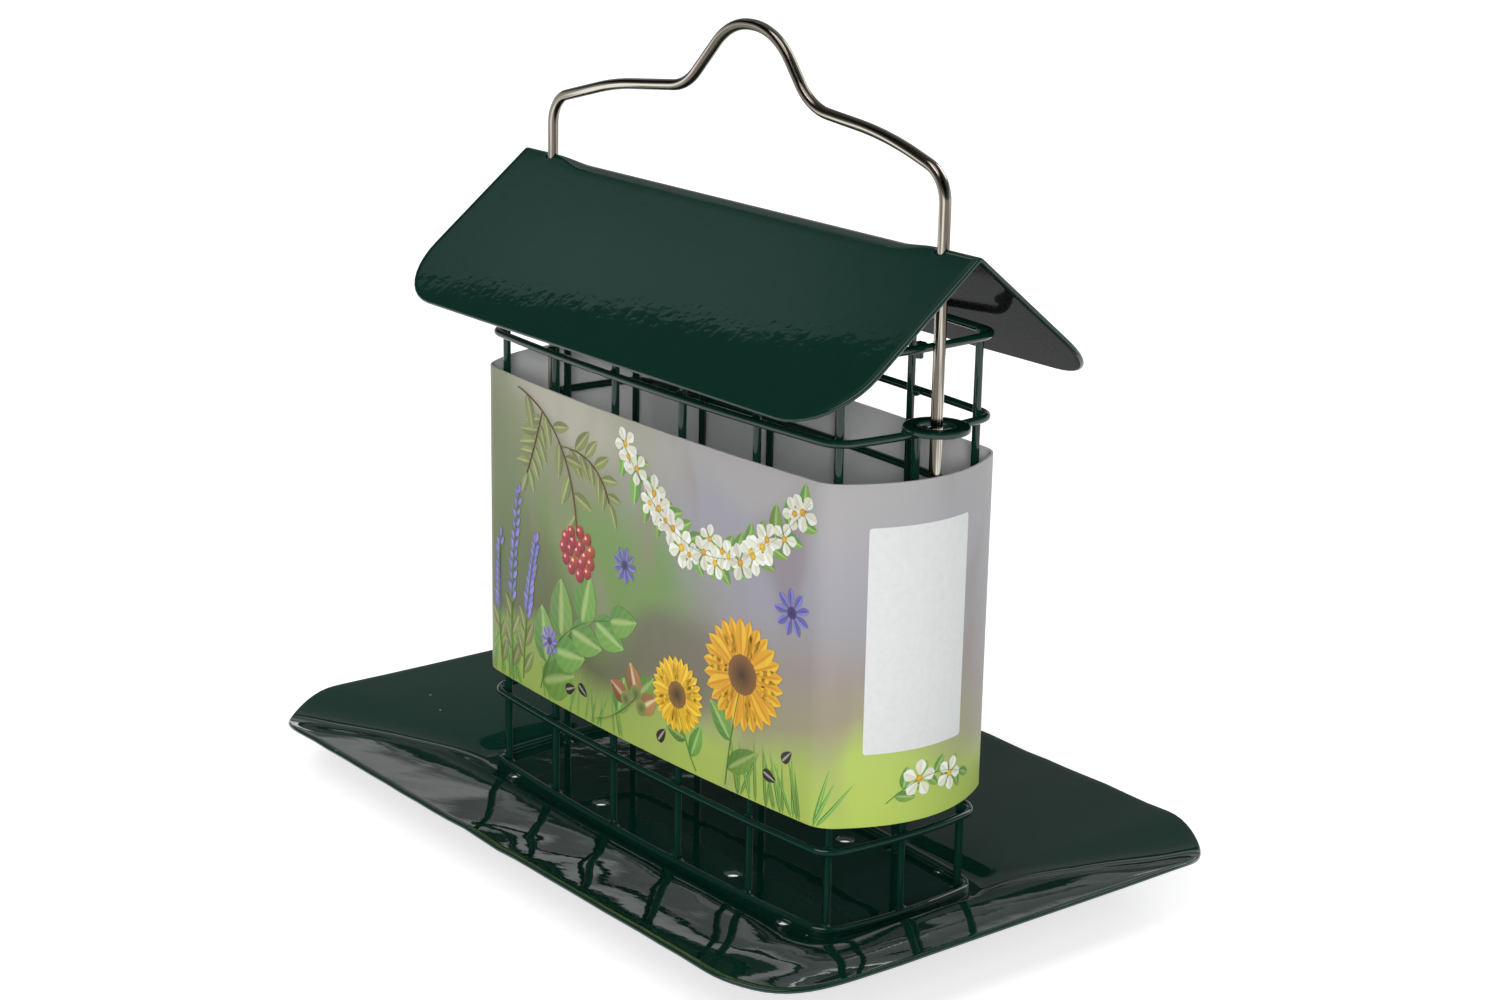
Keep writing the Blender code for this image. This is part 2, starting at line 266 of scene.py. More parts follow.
def shell_faces(rows, columns, wraps, rim_rows):
    """Faces of a closed shell: a grid of points, the same grid below it, and rows of points round its rim."""
    count = rows * columns
    upper = grid_faces(rows, columns, False, wraps) + ([list(range(columns))] if wraps else [])
    rim = rim_of(rows, columns, wraps)
    strips = [*rim, *range(2 * count, 2 * count + rim_rows * len(rim)), *(count + i for i in rim)]
    sides = [[strips[i] for i in face] for face in grid_faces(rim_rows + 2, len(rim), False, True)]
    return upper + [[count + i for i in face[::-1]] for face in upper] + sides


def finish_mesh(name, points, faces, *finishes):
    """A smooth-shaded object with its place in its mesh."""
    mesh = bpy.data.meshes.new(name)
    mesh.from_pydata([tuple(point) for point in points], [], faces)
    mesh.shade_smooth()
    for finish in finishes:
        mesh.materials.append(finish)
    return new_object(name, mesh)


def turn_outwards(mesh, merged=0.0):
    """Turns all faces of a closed mesh outwards, after merging points that lie this close."""
    shell = bmesh.new()
    shell.from_mesh(mesh)
    if merged:
        bmesh.ops.remove_doubles(shell, verts=shell.verts, dist=merged)
    bmesh.ops.recalc_face_normals(shell, faces=shell.faces)
    shell.to_mesh(mesh)
    shell.free()


def unit(ways):
    """Directions at length one."""
    return ways / np.linalg.norm(ways, axis=-1, keepdims=True)


def thick_sheet(name, top, wraps, finish, under):
    """A coated sheet with a round edge under a grid of points on its top. Its columns may wrap round."""
    rows, columns = top.shape[:2]
    across = np.roll(top, -1, 1) - np.roll(top, 1, 1) if wraps else np.gradient(top, axis=1)
    upward = unit(np.cross(np.gradient(top, axis=0), across)).reshape(-1, 3)
    upward *= np.sign(upward[:, 2:])
    top = top.reshape(-1, 3)
    rim = rim_of(rows, columns, wraps)
    edge, edge_up = top[rim], upward[rim]
    outward = unit(np.cross(np.roll(edge, -1, 0) - np.roll(edge, 1, 0), edge_up))
    outward *= np.sign(np.sum(outward * (edge - edge.mean(0)), 1))[:, None]
    points = [top, top - upward * sheet]
    for turn in np.linspace(0, math.pi, rim_steps + 1)[1:-1]:
        spoke = edge_up * math.cos(turn) + outward * math.sin(turn)
        points.append(edge + (spoke - edge_up) * sheet / 2)
    faces = shell_faces(rows, columns, wraps, rim_steps - 1)
    made = finish_mesh(name, np.concatenate(points), faces, finish, under)
    # Faces underneath take the second material, the painted shade of the undersides
    below = [int(len(top) <= min(face) and max(face) < 2 * len(top)) for face in faces]
    made.data.polygons.foreach_set("material_index", below)
    turn_outwards(made.data)
    return made


def plain_mesh(piece):
    """The piece's mesh with its modifiers applied."""
    return bpy.data.meshes.new_from_object(piece.evaluated_get(bpy.context.evaluated_depsgraph_get()))


def cut_holes(piece, radius, places, reach):
    """Punches round holes straight down through a piece."""
    punch = bmesh.new()
    for place in places:
        bore = bmesh.ops.create_cone(punch, cap_ends=True, segments=hole_sides, depth=reach,
                                     radius1=radius, radius2=radius)
        bmesh.ops.translate(punch, verts=bore["verts"], vec=place)
    cutter = new_object("punch", bpy.data.meshes.new("punch"))
    punch.to_mesh(cutter.data)
    punch.free()
    cut = piece.modifiers.new("holes", "BOOLEAN")
    cut.operation = "DIFFERENCE"
    cut.object = cutter
    cut.material_mode = "INDEX"
    bare = piece.data
    piece.data = plain_mesh(piece)
    piece.modifiers.clear()
    bpy.data.meshes.remove(bare)
    bpy.data.objects.remove(cutter)
    piece.data.shade_smooth()
    piece.data.set_sharp_from_angle(angle=sharp_edge)


def ring_of(radius, thickness, centre):
    """Points of a small round ring that lies flat: the coat's lip round a drain hole."""
    turns, bends = (np.linspace(0, math.tau, steps, endpoint=False) for steps in lip_steps)
    reach = radius + thickness * np.cos(bends)[None, :]
    across, along = reach * np.cos(turns)[:, None], reach * np.sin(turns)[:, None]
    return np.stack([across, along, thickness * np.sin(bends) + 0 * across], -1).reshape(-1, 3) + centre


ring_low, ring_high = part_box("ring_1")
tray_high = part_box("tray")[1]
flat_half = np.array(ring_high[:2]) + flat_margins
rim_half = np.array(tray_high[:2]) - tray_edge_inset
floor_outline = bowed_outline(*flat_half, flat_corner, 0, 0, *tray_steps)
rim_outline = bowed_outline(*rim_half, tray_corner, 0, 0, *tray_steps)


def tray_surface():
    """The tray's upper face as loops from the middle out to the rim, faintly dented by hand folding."""
    past_hip = np.clip(np.abs(rim_outline) - (rim_half - tray_corner), 0, None) / tray_corner
    near_corner = (rim_outline[:, 0] > 0) & (rim_outline[:, 1] < 0)
    sag = np.where(near_corner, *corner_sags) * (2 * past_hip.prod(1)) ** 2
    wings = np.abs(rim_outline - floor_outline)
    endwise = (wings[:, 0] / np.hypot(*wings.T)) ** 2
    fold, bulge = (front + (end - front) * endwise for front, end in (fold_shares, bulge_shares))
    soft = fold_softness_share
    loops = [np.column_stack([floor_outline * share, np.full(len(floor_outline), sheet)])
             for share in np.linspace(first_loop_share, 1, flat_loops)]
    for share in np.linspace(0, 1, wing_loops + 1)[1:] ** loop_crowding:
        height = (math.hypot(share, soft) - soft) / (math.hypot(1, soft) - soft)
        folded = (1 - math.exp(-height / fold_reach_share)) / (1 - math.exp(-1 / fold_reach_share))
        height = height + fold * (folded - height)
        height = height + bulge * height * (1 - height)
        plan = floor_outline + (rim_outline - floor_outline) * share
        dents = []
        for x, y in plan:
            wingwise = min(1.0, max(least_dent_share, (abs(y) - flat_half[1]) / dent_start))
            beat = noise.noise(Vector((x / dent_size[0], y / dent_size[1], 0.0)))
            dents.append(dent_height * min(1.0, share * dent_growth) * wingwise * beat)
        loops.append(np.column_stack([plan, sheet + height * (tray_rise - sag) + dents]))
    return np.array(loops)


tray_coat = make_coat("tray_coat", **tray_skin)
# The undersides' coat paints shade in near black and dark grey
under_coat = make_coat("under_coat", **underside_shade_skin)
tray = thick_sheet("tray_sheet", tray_surface(), True, tray_coat, under_coat)
drains = [(side * (flat_half[0] - inset_x), way * (flat_half[1] - inset_y), sheet)
          for inset_x, inset_y in drain_insets for side in (-1, 1) for way in (-1, 1)]
cut_holes(tray, drain_radius, drains, sheet * 6)
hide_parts("tray")
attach(tray, "cage")

lip_points = np.array([ring_of(drain_radius + drain_lip / 2, drain_lip, place) for place in drains])
lip_faces = [[k * lip_points.shape[1] + i for i in face]
             for k in range(len(drains)) for face in grid_faces(*lip_steps, True, True)]
lips = finish_mesh("drain_lips", lip_points.reshape(-1, 3), lip_faces, tray_coat)
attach(lips, "cage")


# Cage
# Eight closed rings of 1.8 mm steel wire with bowed sides, spot welded outside fourteen upright wires. The
# powder coat rounds the cut ends, fills the crossings and runs along the foot of the cage.
side_bow = 0.0025
end_bow = 0.0012
ring_corner = 0.0055
ring_steps = (40, 8)
wire_radius = (ring_high.z - ring_low.z) / 2
ring_half_x = ring_high.x - wire_radius - end_bow
ring_half_y = ring_high.y - wire_radius - side_bow
wire_sides = 18
lump_size = 0.004
lump_share = 0.045
cage_skin = {"peel_size": 0.0011, "ripple_size": 0.0035, "roughness": 0.06, "relief": 0.00002,
             "speck_spacing": 0.012}
bead_width = 0.00112
bead_depth = 0.0013
cap_shares = (0.97, 0.97, 0.5)
cap_sink_share = 0.2
foot_width = 0.0016
foot_height = 0.0007
pimples = 70
pimple_reach = (-0.0035, 0.003)
pimple_size = (0.00014, 0.0003)
pimple_height_share = 0.7
seal_radius = 0.00075
seal_rise = 0.00028
seal_sides = 12
seal_lump_size = 0.0022
seal_lump_share = 0.3
geometry = {"Geometry": "Geometry"}


def vectors(tree, operation, first, second=(0.0, 0.0, 0.0)):
    """The result of one Vector Math node. To scale, the second term is a plain factor."""
    feeds = {0: first, "Scale" if operation == "SCALE" else 1: second}
    node = put(tree, "ShaderNodeVectorMath", feeds, operation=operation)
    return next(socket for socket in node.outputs if socket.enabled)


def store(tree, shape, name, value, data_type="FLOAT", domain="POINT"):
    """Keeps a value on a shape under a name."""
    node = put(tree, "GeometryNodeStoreNamedAttribute", {"Geometry": shape, "Name": name},
               data_type=data_type, domain=domain)
    tree.links.new(value, next(socket for socket in node.inputs if socket.name == "Value" and socket.enabled))
    return node.outputs[0]


def carried(tree, name, data_type):
    """A number or direction that the points carry under a name."""
    return put(tree, "GeometryNodeInputNamedAttribute", {"Name": name}, data_type=data_type).outputs[0]


def chance(tree, low, high, seed):
    """A random number for each point."""
    return put(tree, "FunctionNodeRandomValue", {2: low, 3: high, 8: seed}).outputs[1]


def finish_tree(tree, end, shape, finish, smooth=True):
    """Ends a tree in real geometry with its material."""
    shape = put(tree, "GeometryNodeRealizeInstances", {"Geometry": shape}).outputs[0]
    if smooth:
        shape = put(tree, "GeometryNodeSetShadeSmooth", {"Geometry": shape}).outputs[0]
    dressed = put(tree, "GeometryNodeSetMaterial", {"Geometry": shape, "Material": finish})
    feed(tree, end, {"Geometry": dressed.outputs[0]})
    return tree


def make_wire_tree():
    """Turns a path into a coated wire whose coat is a little uneven along its length."""
    tree, given, end = new_group(
        "coated_wire", "GeometryNodeTree",
        geometry | {"Radius": "Float", "Sides": "Int", "Lump Size": "Float", "Lump Share": "Float",
                    "Seed": "Float", "Material": "Material"}, geometry)
    path = store(tree, given["Geometry"], "along", put(tree, "GeometryNodeSplineParameter").outputs["Length"])
    lump_scale = sums(tree, "DIVIDE", 1.0, given["Lump Size"])
    lumps = put(tree, "ShaderNodeTexNoise", {"Scale": lump_scale, "W": given["Seed"], "Detail": 1.0},
                noise_dimensions="4D").outputs["Fac"]
    swell = sums(tree, "MULTIPLY_ADD", sums(tree, "MULTIPLY_ADD", lumps, 2.0, -1.0), given["Lump Share"], 1.0)
    circle = put(tree, "GeometryNodeCurvePrimitiveCircle",
                 {"Resolution": given["Sides"], "Radius": given["Radius"]})
    spoke = vectors(tree, "NORMALIZE", put(tree, "GeometryNodeInputPosition").outputs[0])
    section = store(tree, circle.outputs[0], "around", spoke, "FLOAT_VECTOR")
    tube = put(tree, "GeometryNodeCurveToMesh",
               {"Curve": path, "Profile Curve": section, "Scale": swell, "Fill Caps": True})
    return finish_tree(tree, end, tube.outputs[0], given["Material"])


def make_bead_tree():
    """Sets a small round bead of weld and coat on each point, turned and sized as the point says."""
    tree, given, end = new_group(
        "coat_beads", "GeometryNodeTree",
        geometry | {"Roundness": "Int", "Size Spread": "Float", "Seed": "Int", "Material": "Material"},
        geometry)
    ball = put(tree, "GeometryNodeMeshIcoSphere", {"Radius": 1.0, "Subdivisions": given["Roundness"]})
    turned = put(tree, "FunctionNodeAlignRotationToVector",
                 {"Vector": carried(tree, "towards", "FLOAT_VECTOR")}, axis="Z").outputs[0]
    least, most = (sums(tree, way, 1.0, given["Size Spread"]) for way in ("SUBTRACT", "ADD"))
    spread = chance(tree, least, most, given["Seed"])
    size = vectors(tree, "SCALE", carried(tree, "size", "FLOAT_VECTOR"), spread)
    placed = put(tree, "GeometryNodeInstanceOnPoints", {
        "Points": given["Geometry"], "Instance": ball.outputs[0], "Rotation": turned,
        "Scale": size})
    return finish_tree(tree, end, placed.outputs[0], given["Material"])


def grow(source, tree, name, **given):
    """Runs a tree on a source object and keeps the result as a plain mesh."""
    modifier = source.modifiers.new("tree", "NODES")
    modifier.node_group = tree
    for item in tree.interface.items_tree:
        key = item.name.lower().replace(" ", "_")
        if item.in_out == "INPUT" and key in given:
            modifier[item.identifier] = given[key]
    mesh = plain_mesh(source)
    mesh.name = name
    bpy.data.objects.remove(source)
    return new_object(name, mesh)


def path_object(paths, closed=False):
    """Paths through points, for a tree to work on."""
    curve = bpy.data.curves.new("path", "CURVE")
    curve.dimensions = "3D"
    for path in paths:
        spline = curve.splines.new("POLY")
        spline.points.add(len(path) - 1)
        spline.points.foreach_set("co", [value for point in path for value in (*point, 1.0)])
        spline.use_cyclic_u = closed
    return new_object("path", curve)


def points_object(places, **marks):
    """Loose points for a tree to work on, each with its own numbers or directions."""
    mesh = bpy.data.meshes.new("points")
    mesh.from_pydata([tuple(place) for place in places], [], [])
    for label, values in marks.items():
        kind, part = ("FLOAT", "value") if np.ndim(values) == 1 else ("FLOAT_VECTOR", "vector")
        mesh.attributes.new(label, kind, "POINT").data.foreach_set(part, np.array(values, float).ravel())
    return new_object("points", mesh)


def set_beads(name, beads, spread, seed):
    """A piece made of beads, each given as its place, the way it is turned and its three half sizes."""
    places, towards, sizes = zip(*beads)
    return grow(points_object(places, towards=towards, size=sizes), coat_beads, name, roundness=3,
                size_spread=spread, seed=seed, material=cage_coat)


coated_wire = make_wire_tree()
coat_beads = make_bead_tree()
cage_coat = make_coat("cage_coat", **cage_skin)
ring_outline = bowed_outline(ring_half_x, ring_half_y, ring_corner, end_bow, side_bow, *ring_steps)
cage_nodes = [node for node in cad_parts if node.startswith(("ring_", "upright_", "cut_stub_"))]
ring_heights = []
upright_places = []
for number, node in enumerate(sorted(cage_nodes)):
    low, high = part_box(node)
    middle = (low + high) / 2
    if node.startswith("ring_"):
        path = [(x, y, middle.z) for x, y in ring_outline]
        ring_heights.append(middle.z)
    else:
        steps = max(3, round((high.z - low.z) / lump_size * 2))
        path = [(middle.x, middle.y, z) for z in np.linspace(low.z, high.z, steps)]
        upright_places.append((middle.x, middle.y, low.z, high.z))
    wire = grow(path_object([path], node.startswith("ring_")), coated_wire, "coated_" + node,
                radius=wire_radius, sides=wire_sides, lump_size=lump_size, lump_share=lump_share,
                seed=float(number), material=cage_coat)
    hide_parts(node)
    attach(wire, "cage")


def cage_beads():
    """Beads in the crossings, caps on the cut ends, feet on the tray and pimples of coat round them."""
    upward = (0, 0, 1)
    crossing = (bead_width, bead_width, bead_depth)
    cap = [wire_radius * share for share in cap_shares]
    foot = (foot_width, foot_width, foot_height)
    beads = []
    for x, y, low, high in upright_places:
        near_x, near_y = ring_outline[np.argmin(np.hypot(ring_outline[:, 0] - x, ring_outline[:, 1] - y))]
        lean = unit(np.array([near_x - x, near_y - y, 0.0]))
        for z in ring_heights:
            if low - wire_radius < z < high + wire_radius:
                beads.append((((near_x + x) / 2, (near_y + y) / 2, z), lean, crossing))
        beads.append(((x, y, high - wire_radius * cap_sink_share), upward, cap))
        if low < ring_heights[0]:
            beads.append(((x, y, sheet), upward, foot))
    draw = np.random.default_rng(17)
    for x, y in ring_outline[draw.integers(0, len(ring_outline), pimples)]:
        share = 1 + draw.uniform(*pimple_reach) / math.hypot(x, y)
        size = draw.uniform(*pimple_size)
        beads.append(((x * share, y * share, sheet), upward, (size, size, size * pimple_height_share)))
    return beads


welds = set_beads("weld_beads", cage_beads(), 0.1, 4)
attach(welds, "cage")

seal_path = [(x, y, sheet + seal_rise) for x, y in ring_outline]
seal = grow(path_object([seal_path], True), coated_wire, "coat_seal", radius=seal_radius, sides=seal_sides,
            lump_size=seal_lump_size, lump_share=seal_lump_share, seed=40.0, material=cage_coat)
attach(seal, "cage")


# Eye washers
# Two stamped washers, welded by their rims on the second ring from the top. The hanger's legs run through
# them, and its turned feet stop under them. The same coat covers them.
washer_hole = 0.0038
washer_round = 0.00045
washer_turns = 64
washer_round_steps = 5
washer_weld_shares = (1.0, 1.3, 0.6)
washer_weld_sink_share = 0.3
washer_weld_pitch = 0.0045


def washer_shape(low, high):
    """A washer's rounded section, turned about its middle."""
    outer = (high.x - low.x) / 2
    middle = (low + high) / 2
    corners = ((washer_hole, low.z), (outer, low.z), (outer, high.z), (washer_hole, high.z))
    section = []
    for k, (r, z) in enumerate(corners):
        centre_r = r + math.copysign(washer_round, outer - washer_round - r)
        centre_z = z + math.copysign(washer_round, middle.z - z)
        for a in math.pi + k * math.pi / 2 + np.linspace(0, math.pi / 2, washer_round_steps):
            section.append((centre_r + washer_round * math.cos(a), centre_z + washer_round * math.sin(a)))
    turns = np.linspace(0, math.tau, washer_turns, endpoint=False)
    points = [(middle.x + r * math.cos(t), middle.y + r * math.sin(t), z) for t in turns for r, z in section]
    return points, grid_faces(washer_turns, len(section), True, True)


for side in ("left", "right"):
    node = "eye_washer_" + side
    low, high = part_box(node)
    washer = finish_mesh("coated_" + node, *washer_shape(low, high), cage_coat)
    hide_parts(node)
    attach(washer, "cage")
    rail_x = math.copysign(ring_half_x + end_bow, low.x + high.x)
    weld_z = low.z - wire_radius * washer_weld_sink_share
    widths = np.multiply(washer_weld_shares, (bead_width, bead_width, wire_radius))
    spots = [((rail_x, spot * washer_weld_pitch, weld_z), (0, 0, 1), widths) for spot in (-1, 0, 1)]
    holds = set_beads("washer_weld_" + side, spots, 0.15, 9)
    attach(holds, "cage")


# Roof
# A strip of the same sheet with round corners, bent along its middle over a blunt tool. The bend is sharper
# round and outside the two holes for the hanger's legs. It is coated like the cage.
roof_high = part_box("roof")[1]
roof_pitch = math.radians(38.2)
slope_length = 0.05
roof_corner = 0.016
roof_edge_inset = 0.0003
ridge_radius = 0.0045
eye_ridge_radius = 0.0012
eye_taper = (0.014, 0.002)
leg_hole = 0.0019
roof_columns = 121
ridge_rows = 9
slope_rows = 14
corner_rows = 10
first_row_share = 0.16
roof_dent = 0.00002
roof_dent_size = 0.024
roof_dent_seed = 5.0
roof_skin = {"peel_size": 0.0013, "ripple_size": 0.0036, "roughness": 0.022, "relief": 0.000013}
hanger_low, hanger_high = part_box("hanger")
hanger_radius = 0.0013
leg_x = hanger_high.x - hanger_radius
roof_half = roof_high.x - roof_edge_inset
roof_apex = roof_high.z + eye_ridge_radius * (1 / math.cos(roof_pitch) - 1)


def roof_surface():
    """Upper face of the roof: rows from the front eave over the ridge to the back eave, columns along X."""
    corner_start = slope_length - roof_edge_inset - roof_corner
    drops = [(drop, roof_half) for drop in np.linspace(first_row_share, 1, slope_rows) * corner_start]
    corner_half = roof_half - roof_corner
    drops += [(corner_start + roof_corner * math.sin(turn), corner_half + roof_corner * math.cos(turn))
              for turn in np.linspace(0, math.pi / 2, corner_rows + 1)[1:]]
    columns = []
    for share in np.linspace(-1, 1, roof_columns):
        inwards = leg_x - abs(share) * roof_half
        ease = min(1.0, max(0.0, (eye_taper[0] - inwards) / (eye_taper[0] - eye_taper[1])))
        radius = ridge_radius + (eye_ridge_radius - ridge_radius) * ease * ease * (3 - 2 * ease)
        centre = roof_apex - radius / math.cos(roof_pitch)
        side = [(share * roof_half, radius * math.sin(turn), centre + radius * math.cos(turn))
                for turn in np.linspace(0, roof_pitch, ridge_rows)]
        for drop, reach in drops:
            y = drop * math.cos(roof_pitch)
            dent = roof_dent * noise.noise(Vector((share * reach, y, roof_dent_seed)) / roof_dent_size)
            side.append((share * reach, y, roof_apex - y * math.tan(roof_pitch) + dent))
        columns.append([(x, -y, z) for x, y, z in reversed(side[1:])] + side)
    return np.array(columns).transpose(1, 0, 2)


roof = thick_sheet("roof_sheet", roof_surface(), False, make_coat("roof_coat", **roof_skin), under_coat)
cut_holes(roof, leg_hole, [(-leg_x, 0, roof_high.z), (leg_x, 0, roof_high.z)], sheet * 8)
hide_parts("roof")
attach(roof, "roof")


# Hanger
# One length of bright stainless wire, bent by hand over pegs: feet, legs, shoulders, brow and the hump that
# hangs on a hook. It is left uncoated, with drawing lines along it. Its colour is painted: a dark, cloudy
# brown that paints shade into its reflections, and pale streaks along the lines that paint highlights.
foot_length = 0.0068
foot_turn = math.radians(8)
# From shoulder to shoulder, as shares of half the legs' distance and of the rise above the roof. The hump
# sits off centre.
hanger_shares = ((1.0, 0.386), (0.745, 0.535), (0.380, 0.600), (0.205, 1.0),
                 (-0.020, 1.0), (-0.245, 0.590), (-0.640, 0.515), (-1.0, 0.345))
hanger_bends = (0.0024, 0.0076, 0.090, 0.014, 0.0165)
hanger_step = 0.0008
straight_steps = 12
least_bend_steps = 6
hanger_sides = 28
hanger_lump_size = 0.01
hanger_lump_share = 0.006
# Painted shade and highlight: the dark browns darken the steel's reflections, and the pale streak colour
# brightens it along the drawing lines
steel_shade_brown = (0.165, 0.145, 0.122, 1)
steel_deep_shade_brown = (0.120, 0.096, 0.072, 1)
steel_highlight_streak = (0.66, 0.62, 0.54, 1)
line_pitch = 14.0
line_scale = 1.7
highlight_streak_edge = (0.45, 0.60)
line_depth = 0.000006
line_haze = 0.16
steel_roughness = 0.08
tint_scale = 60.0


def rounded_path(corners, bends):
    """A path through the corners, each inner one turned with its own bend radius."""
    path = [Vector(corners[0])]
    for before, here, after, bend in zip(corners, corners[1:], corners[2:], bends):
        here = Vector(here)
        back = (Vector(before) - here).normalized()
        on = (Vector(after) - here).normalized()
        opening = back.angle(on)
        centre = here + (back + on).normalized() * (bend / math.sin(opening / 2))
        reach = bend / math.tan(opening / 2)
        start = here + back * reach - centre
        end = here + on * reach - centre
        turn = start.angle(end)
        run = here + back * reach - path[-1]
        path += [path[-1] + run * i / straight_steps for i in range(1, straight_steps)]
        for share in np.linspace(0, 1, max(least_bend_steps, math.ceil(turn * bend / hanger_step)) + 1):
            spoke = (start * math.sin((1 - share) * turn) + end * math.sin(share * turn)) / math.sin(turn)
            path.append(centre + spoke)
    return path + [Vector(corners[-1])]


def hanger_path():
    """From one foot up over the hump to the other foot."""
    foot_z = hanger_low.z + hanger_radius
    rise = hanger_high.z - hanger_radius - roof_high.z
    foot = [(leg_x - foot_length * math.sin(foot_turn), foot_length * math.cos(foot_turn), foot_z),
            (leg_x, 0, foot_z)]
    bail = [(across * leg_x, 0, roof_high.z + up * rise) for across, up in hanger_shares]
    far_foot = [(-x, y, z) for x, y, z in reversed(foot)]
    return rounded_path(foot + bail + far_foot, hanger_bends + hanger_bends[::-1])


def fade(tree, value, start, end, low=0.0, high=1.0, shape="SMOOTHSTEP"):
    """Runs from low, where the value is at start, to high, where it is at end."""
    return put(tree, "ShaderNodeMapRange", {
        "Value": value, "From Min": start, "From Max": end, "To Min": low, "To Max": high},
        interpolation_type=shape).outputs[0]


def make_steel():
    """Drawn stainless wire: mirror-like, with fine lines that follow it. Its dark, cloudy brown is painted
    shade in its reflections, and pale streaks along the lines are painted highlights.
    """
    made, tree = new_material("drawn_steel")
    place = put(tree, "ShaderNodeTexCoord").outputs["Object"]
    along = put(tree, "ShaderNodeAttribute", attribute_name="along").outputs["Fac"]
    around = put(tree, "ShaderNodeAttribute", attribute_name="around").outputs["Vector"]
    drawn = put(tree, "ShaderNodeTexNoise", {
        "Vector": around, "W": sums(tree, "MULTIPLY", along, line_pitch), "Scale": line_scale, "Detail": 3.0},
        noise_dimensions="4D").outputs["Fac"]
    # Painted shade in cloudy dark brown, with painted highlight streaks where the lines run pale
    warm = blend(tree, cloudy(tree, place, tint_scale, 2.0), steel_shade_brown, steel_deep_shade_brown)
    colour = blend(tree, fade(tree, drawn, *highlight_streak_edge), warm, steel_highlight_streak)
    rough = sums(tree, "MULTIPLY_ADD", drawn, line_haze, steel_roughness)
    paint(tree, {"Metallic": 1.0, "Base Color": colour, "Roughness": rough}, drawn, line_depth)
    return made


hanger = grow(path_object([hanger_path()]), coated_wire, "steel_hanger", radius=hanger_radius,
              sides=hanger_sides, lump_size=hanger_lump_size, lump_share=hanger_lump_share, seed=70.0,
              material=make_steel())
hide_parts("hanger")
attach(hanger, "hanger")


# Card sleeve
# A band of half-millimetre white card, printed outside and left bare inside, wrapped tight round the cage
# and the hanger's legs. Its cut edges show white.
card = 0.0005
sleeve_slack = 0.0004
sleeve_rows = 16
sleeve_steps = (48, 12)
sleeve_low, sleeve_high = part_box("card_sleeve")
sleeve_reach = wire_radius + sleeve_slack + card
sleeve_bow_x = sleeve_high.x - ring_half_x - sleeve_reach
sleeve_sizes = [size + sleeve_reach for size in (ring_half_x, ring_half_y, ring_corner)]
sleeve_outline = bowed_outline(*sleeve_sizes, sleeve_bow_x, side_bow, *sleeve_steps)
inside_white = ((0.78, 0.79, 0.775, 1), (0.70, 0.71, 0.70, 1))
edge_white = ((0.80, 0.80, 0.78, 1), (0.68, 0.68, 0.66, 1))
fibre_scale = 1400.0
fibre_height = 0.00001
# The print's ground from its foot up: the place as a share of the height, and the colour
left_ground = ((0.0, (0.36, 0.48, 0.11)), (0.14, (0.30, 0.40, 0.11)), (0.27, (0.12, 0.14, 0.06)),
               (0.45, (0.14, 0.16, 0.07)), (0.62, (0.21, 0.25, 0.13)), (0.82, (0.30, 0.31, 0.20)),
               (1.0, (0.38, 0.38, 0.28)))
right_ground = ((0.0, (0.47, 0.60, 0.12)), (0.15, (0.43, 0.55, 0.13)), (0.25, (0.34, 0.32, 0.20)),
                (0.40, (0.32, 0.28, 0.26)), (0.60, (0.33, 0.325, 0.36)), (0.85, (0.37, 0.36, 0.39)),
                (1.0, (0.40, 0.39, 0.39)))
ground_turn = (-0.028, 0.036)
# Soft patches of a garden out of focus: middle and half sizes across and up, in metres, colour and strength
soft_patches = (((-0.006, 0.041), (0.033, 0.018), (0.18, 0.31, 0.085, 1), 0.85),
                ((0.012, 0.025), (0.030, 0.010), (0.15, 0.13, 0.10, 1), 0.65),
                ((-0.028, 0.071), (0.020, 0.009), (0.52, 0.50, 0.43, 1), 0.70),
                ((0.036, 0.053), (0.024, 0.021), (0.34, 0.335, 0.39, 1), 0.65),
                ((0.051, 0.060), (0.007, 0.020), (0.25, 0.20, 0.22, 1), 0.60),
                ((-0.056, 0.048), (0.012, 0.032), (0.13, 0.18, 0.07, 1), 0.65))
patch_edge_shares = (0.35, 1.25)
rust_brown = (0.30, 0.24, 0.20, 1)
rust_scale = 75.0
rust_edge = (0.54, 0.74)
rust_share = 0.42
smear_shares = (1.0, 1.0, 0.25)
drift = (0.032, 0.032, 0.032)
drift_scale = 26.0
print_grain_scale = 900.0
print_haze = 0.12
print_roughness = 0.33
print_gloss = 0.25
card_roughness = 0.8


def card_band(*finishes):
    """The band as one closed wall: printed face, plain face and two cut edges."""
    n = len(sleeve_outline)
    ahead = np.roll(sleeve_outline, -1, 0) - np.roll(sleeve_outline, 1, 0)
    inner_outline = sleeve_outline - unit(np.stack([ahead[:, 1], -ahead[:, 0]], 1)) * card
    heights = np.linspace(sleeve_low.z, sleeve_high.z, sleeve_rows + 1)
    walls = [np.column_stack([sleeve_outline, np.full(n, z)]) for z in heights]
    walls += [np.column_stack([inner_outline, np.full(n, z)]) for z in heights[::-1]]
    rows = len(walls)
    faces = [face[:1] + face[:0:-1] for face in grid_faces(rows, n, True, True)]
    made = finish_mesh("printed_sleeve", np.concatenate(walls), faces, *finishes)
    slots = [0 if r < sleeve_rows else 2 if r in (sleeve_rows, rows - 1) else 1 for r in range(rows)]
    made.data.polygons.foreach_set("material_index", np.repeat(slots, n))
    made.data.set_sharp_from_angle(angle=sharp_edge)
    return made


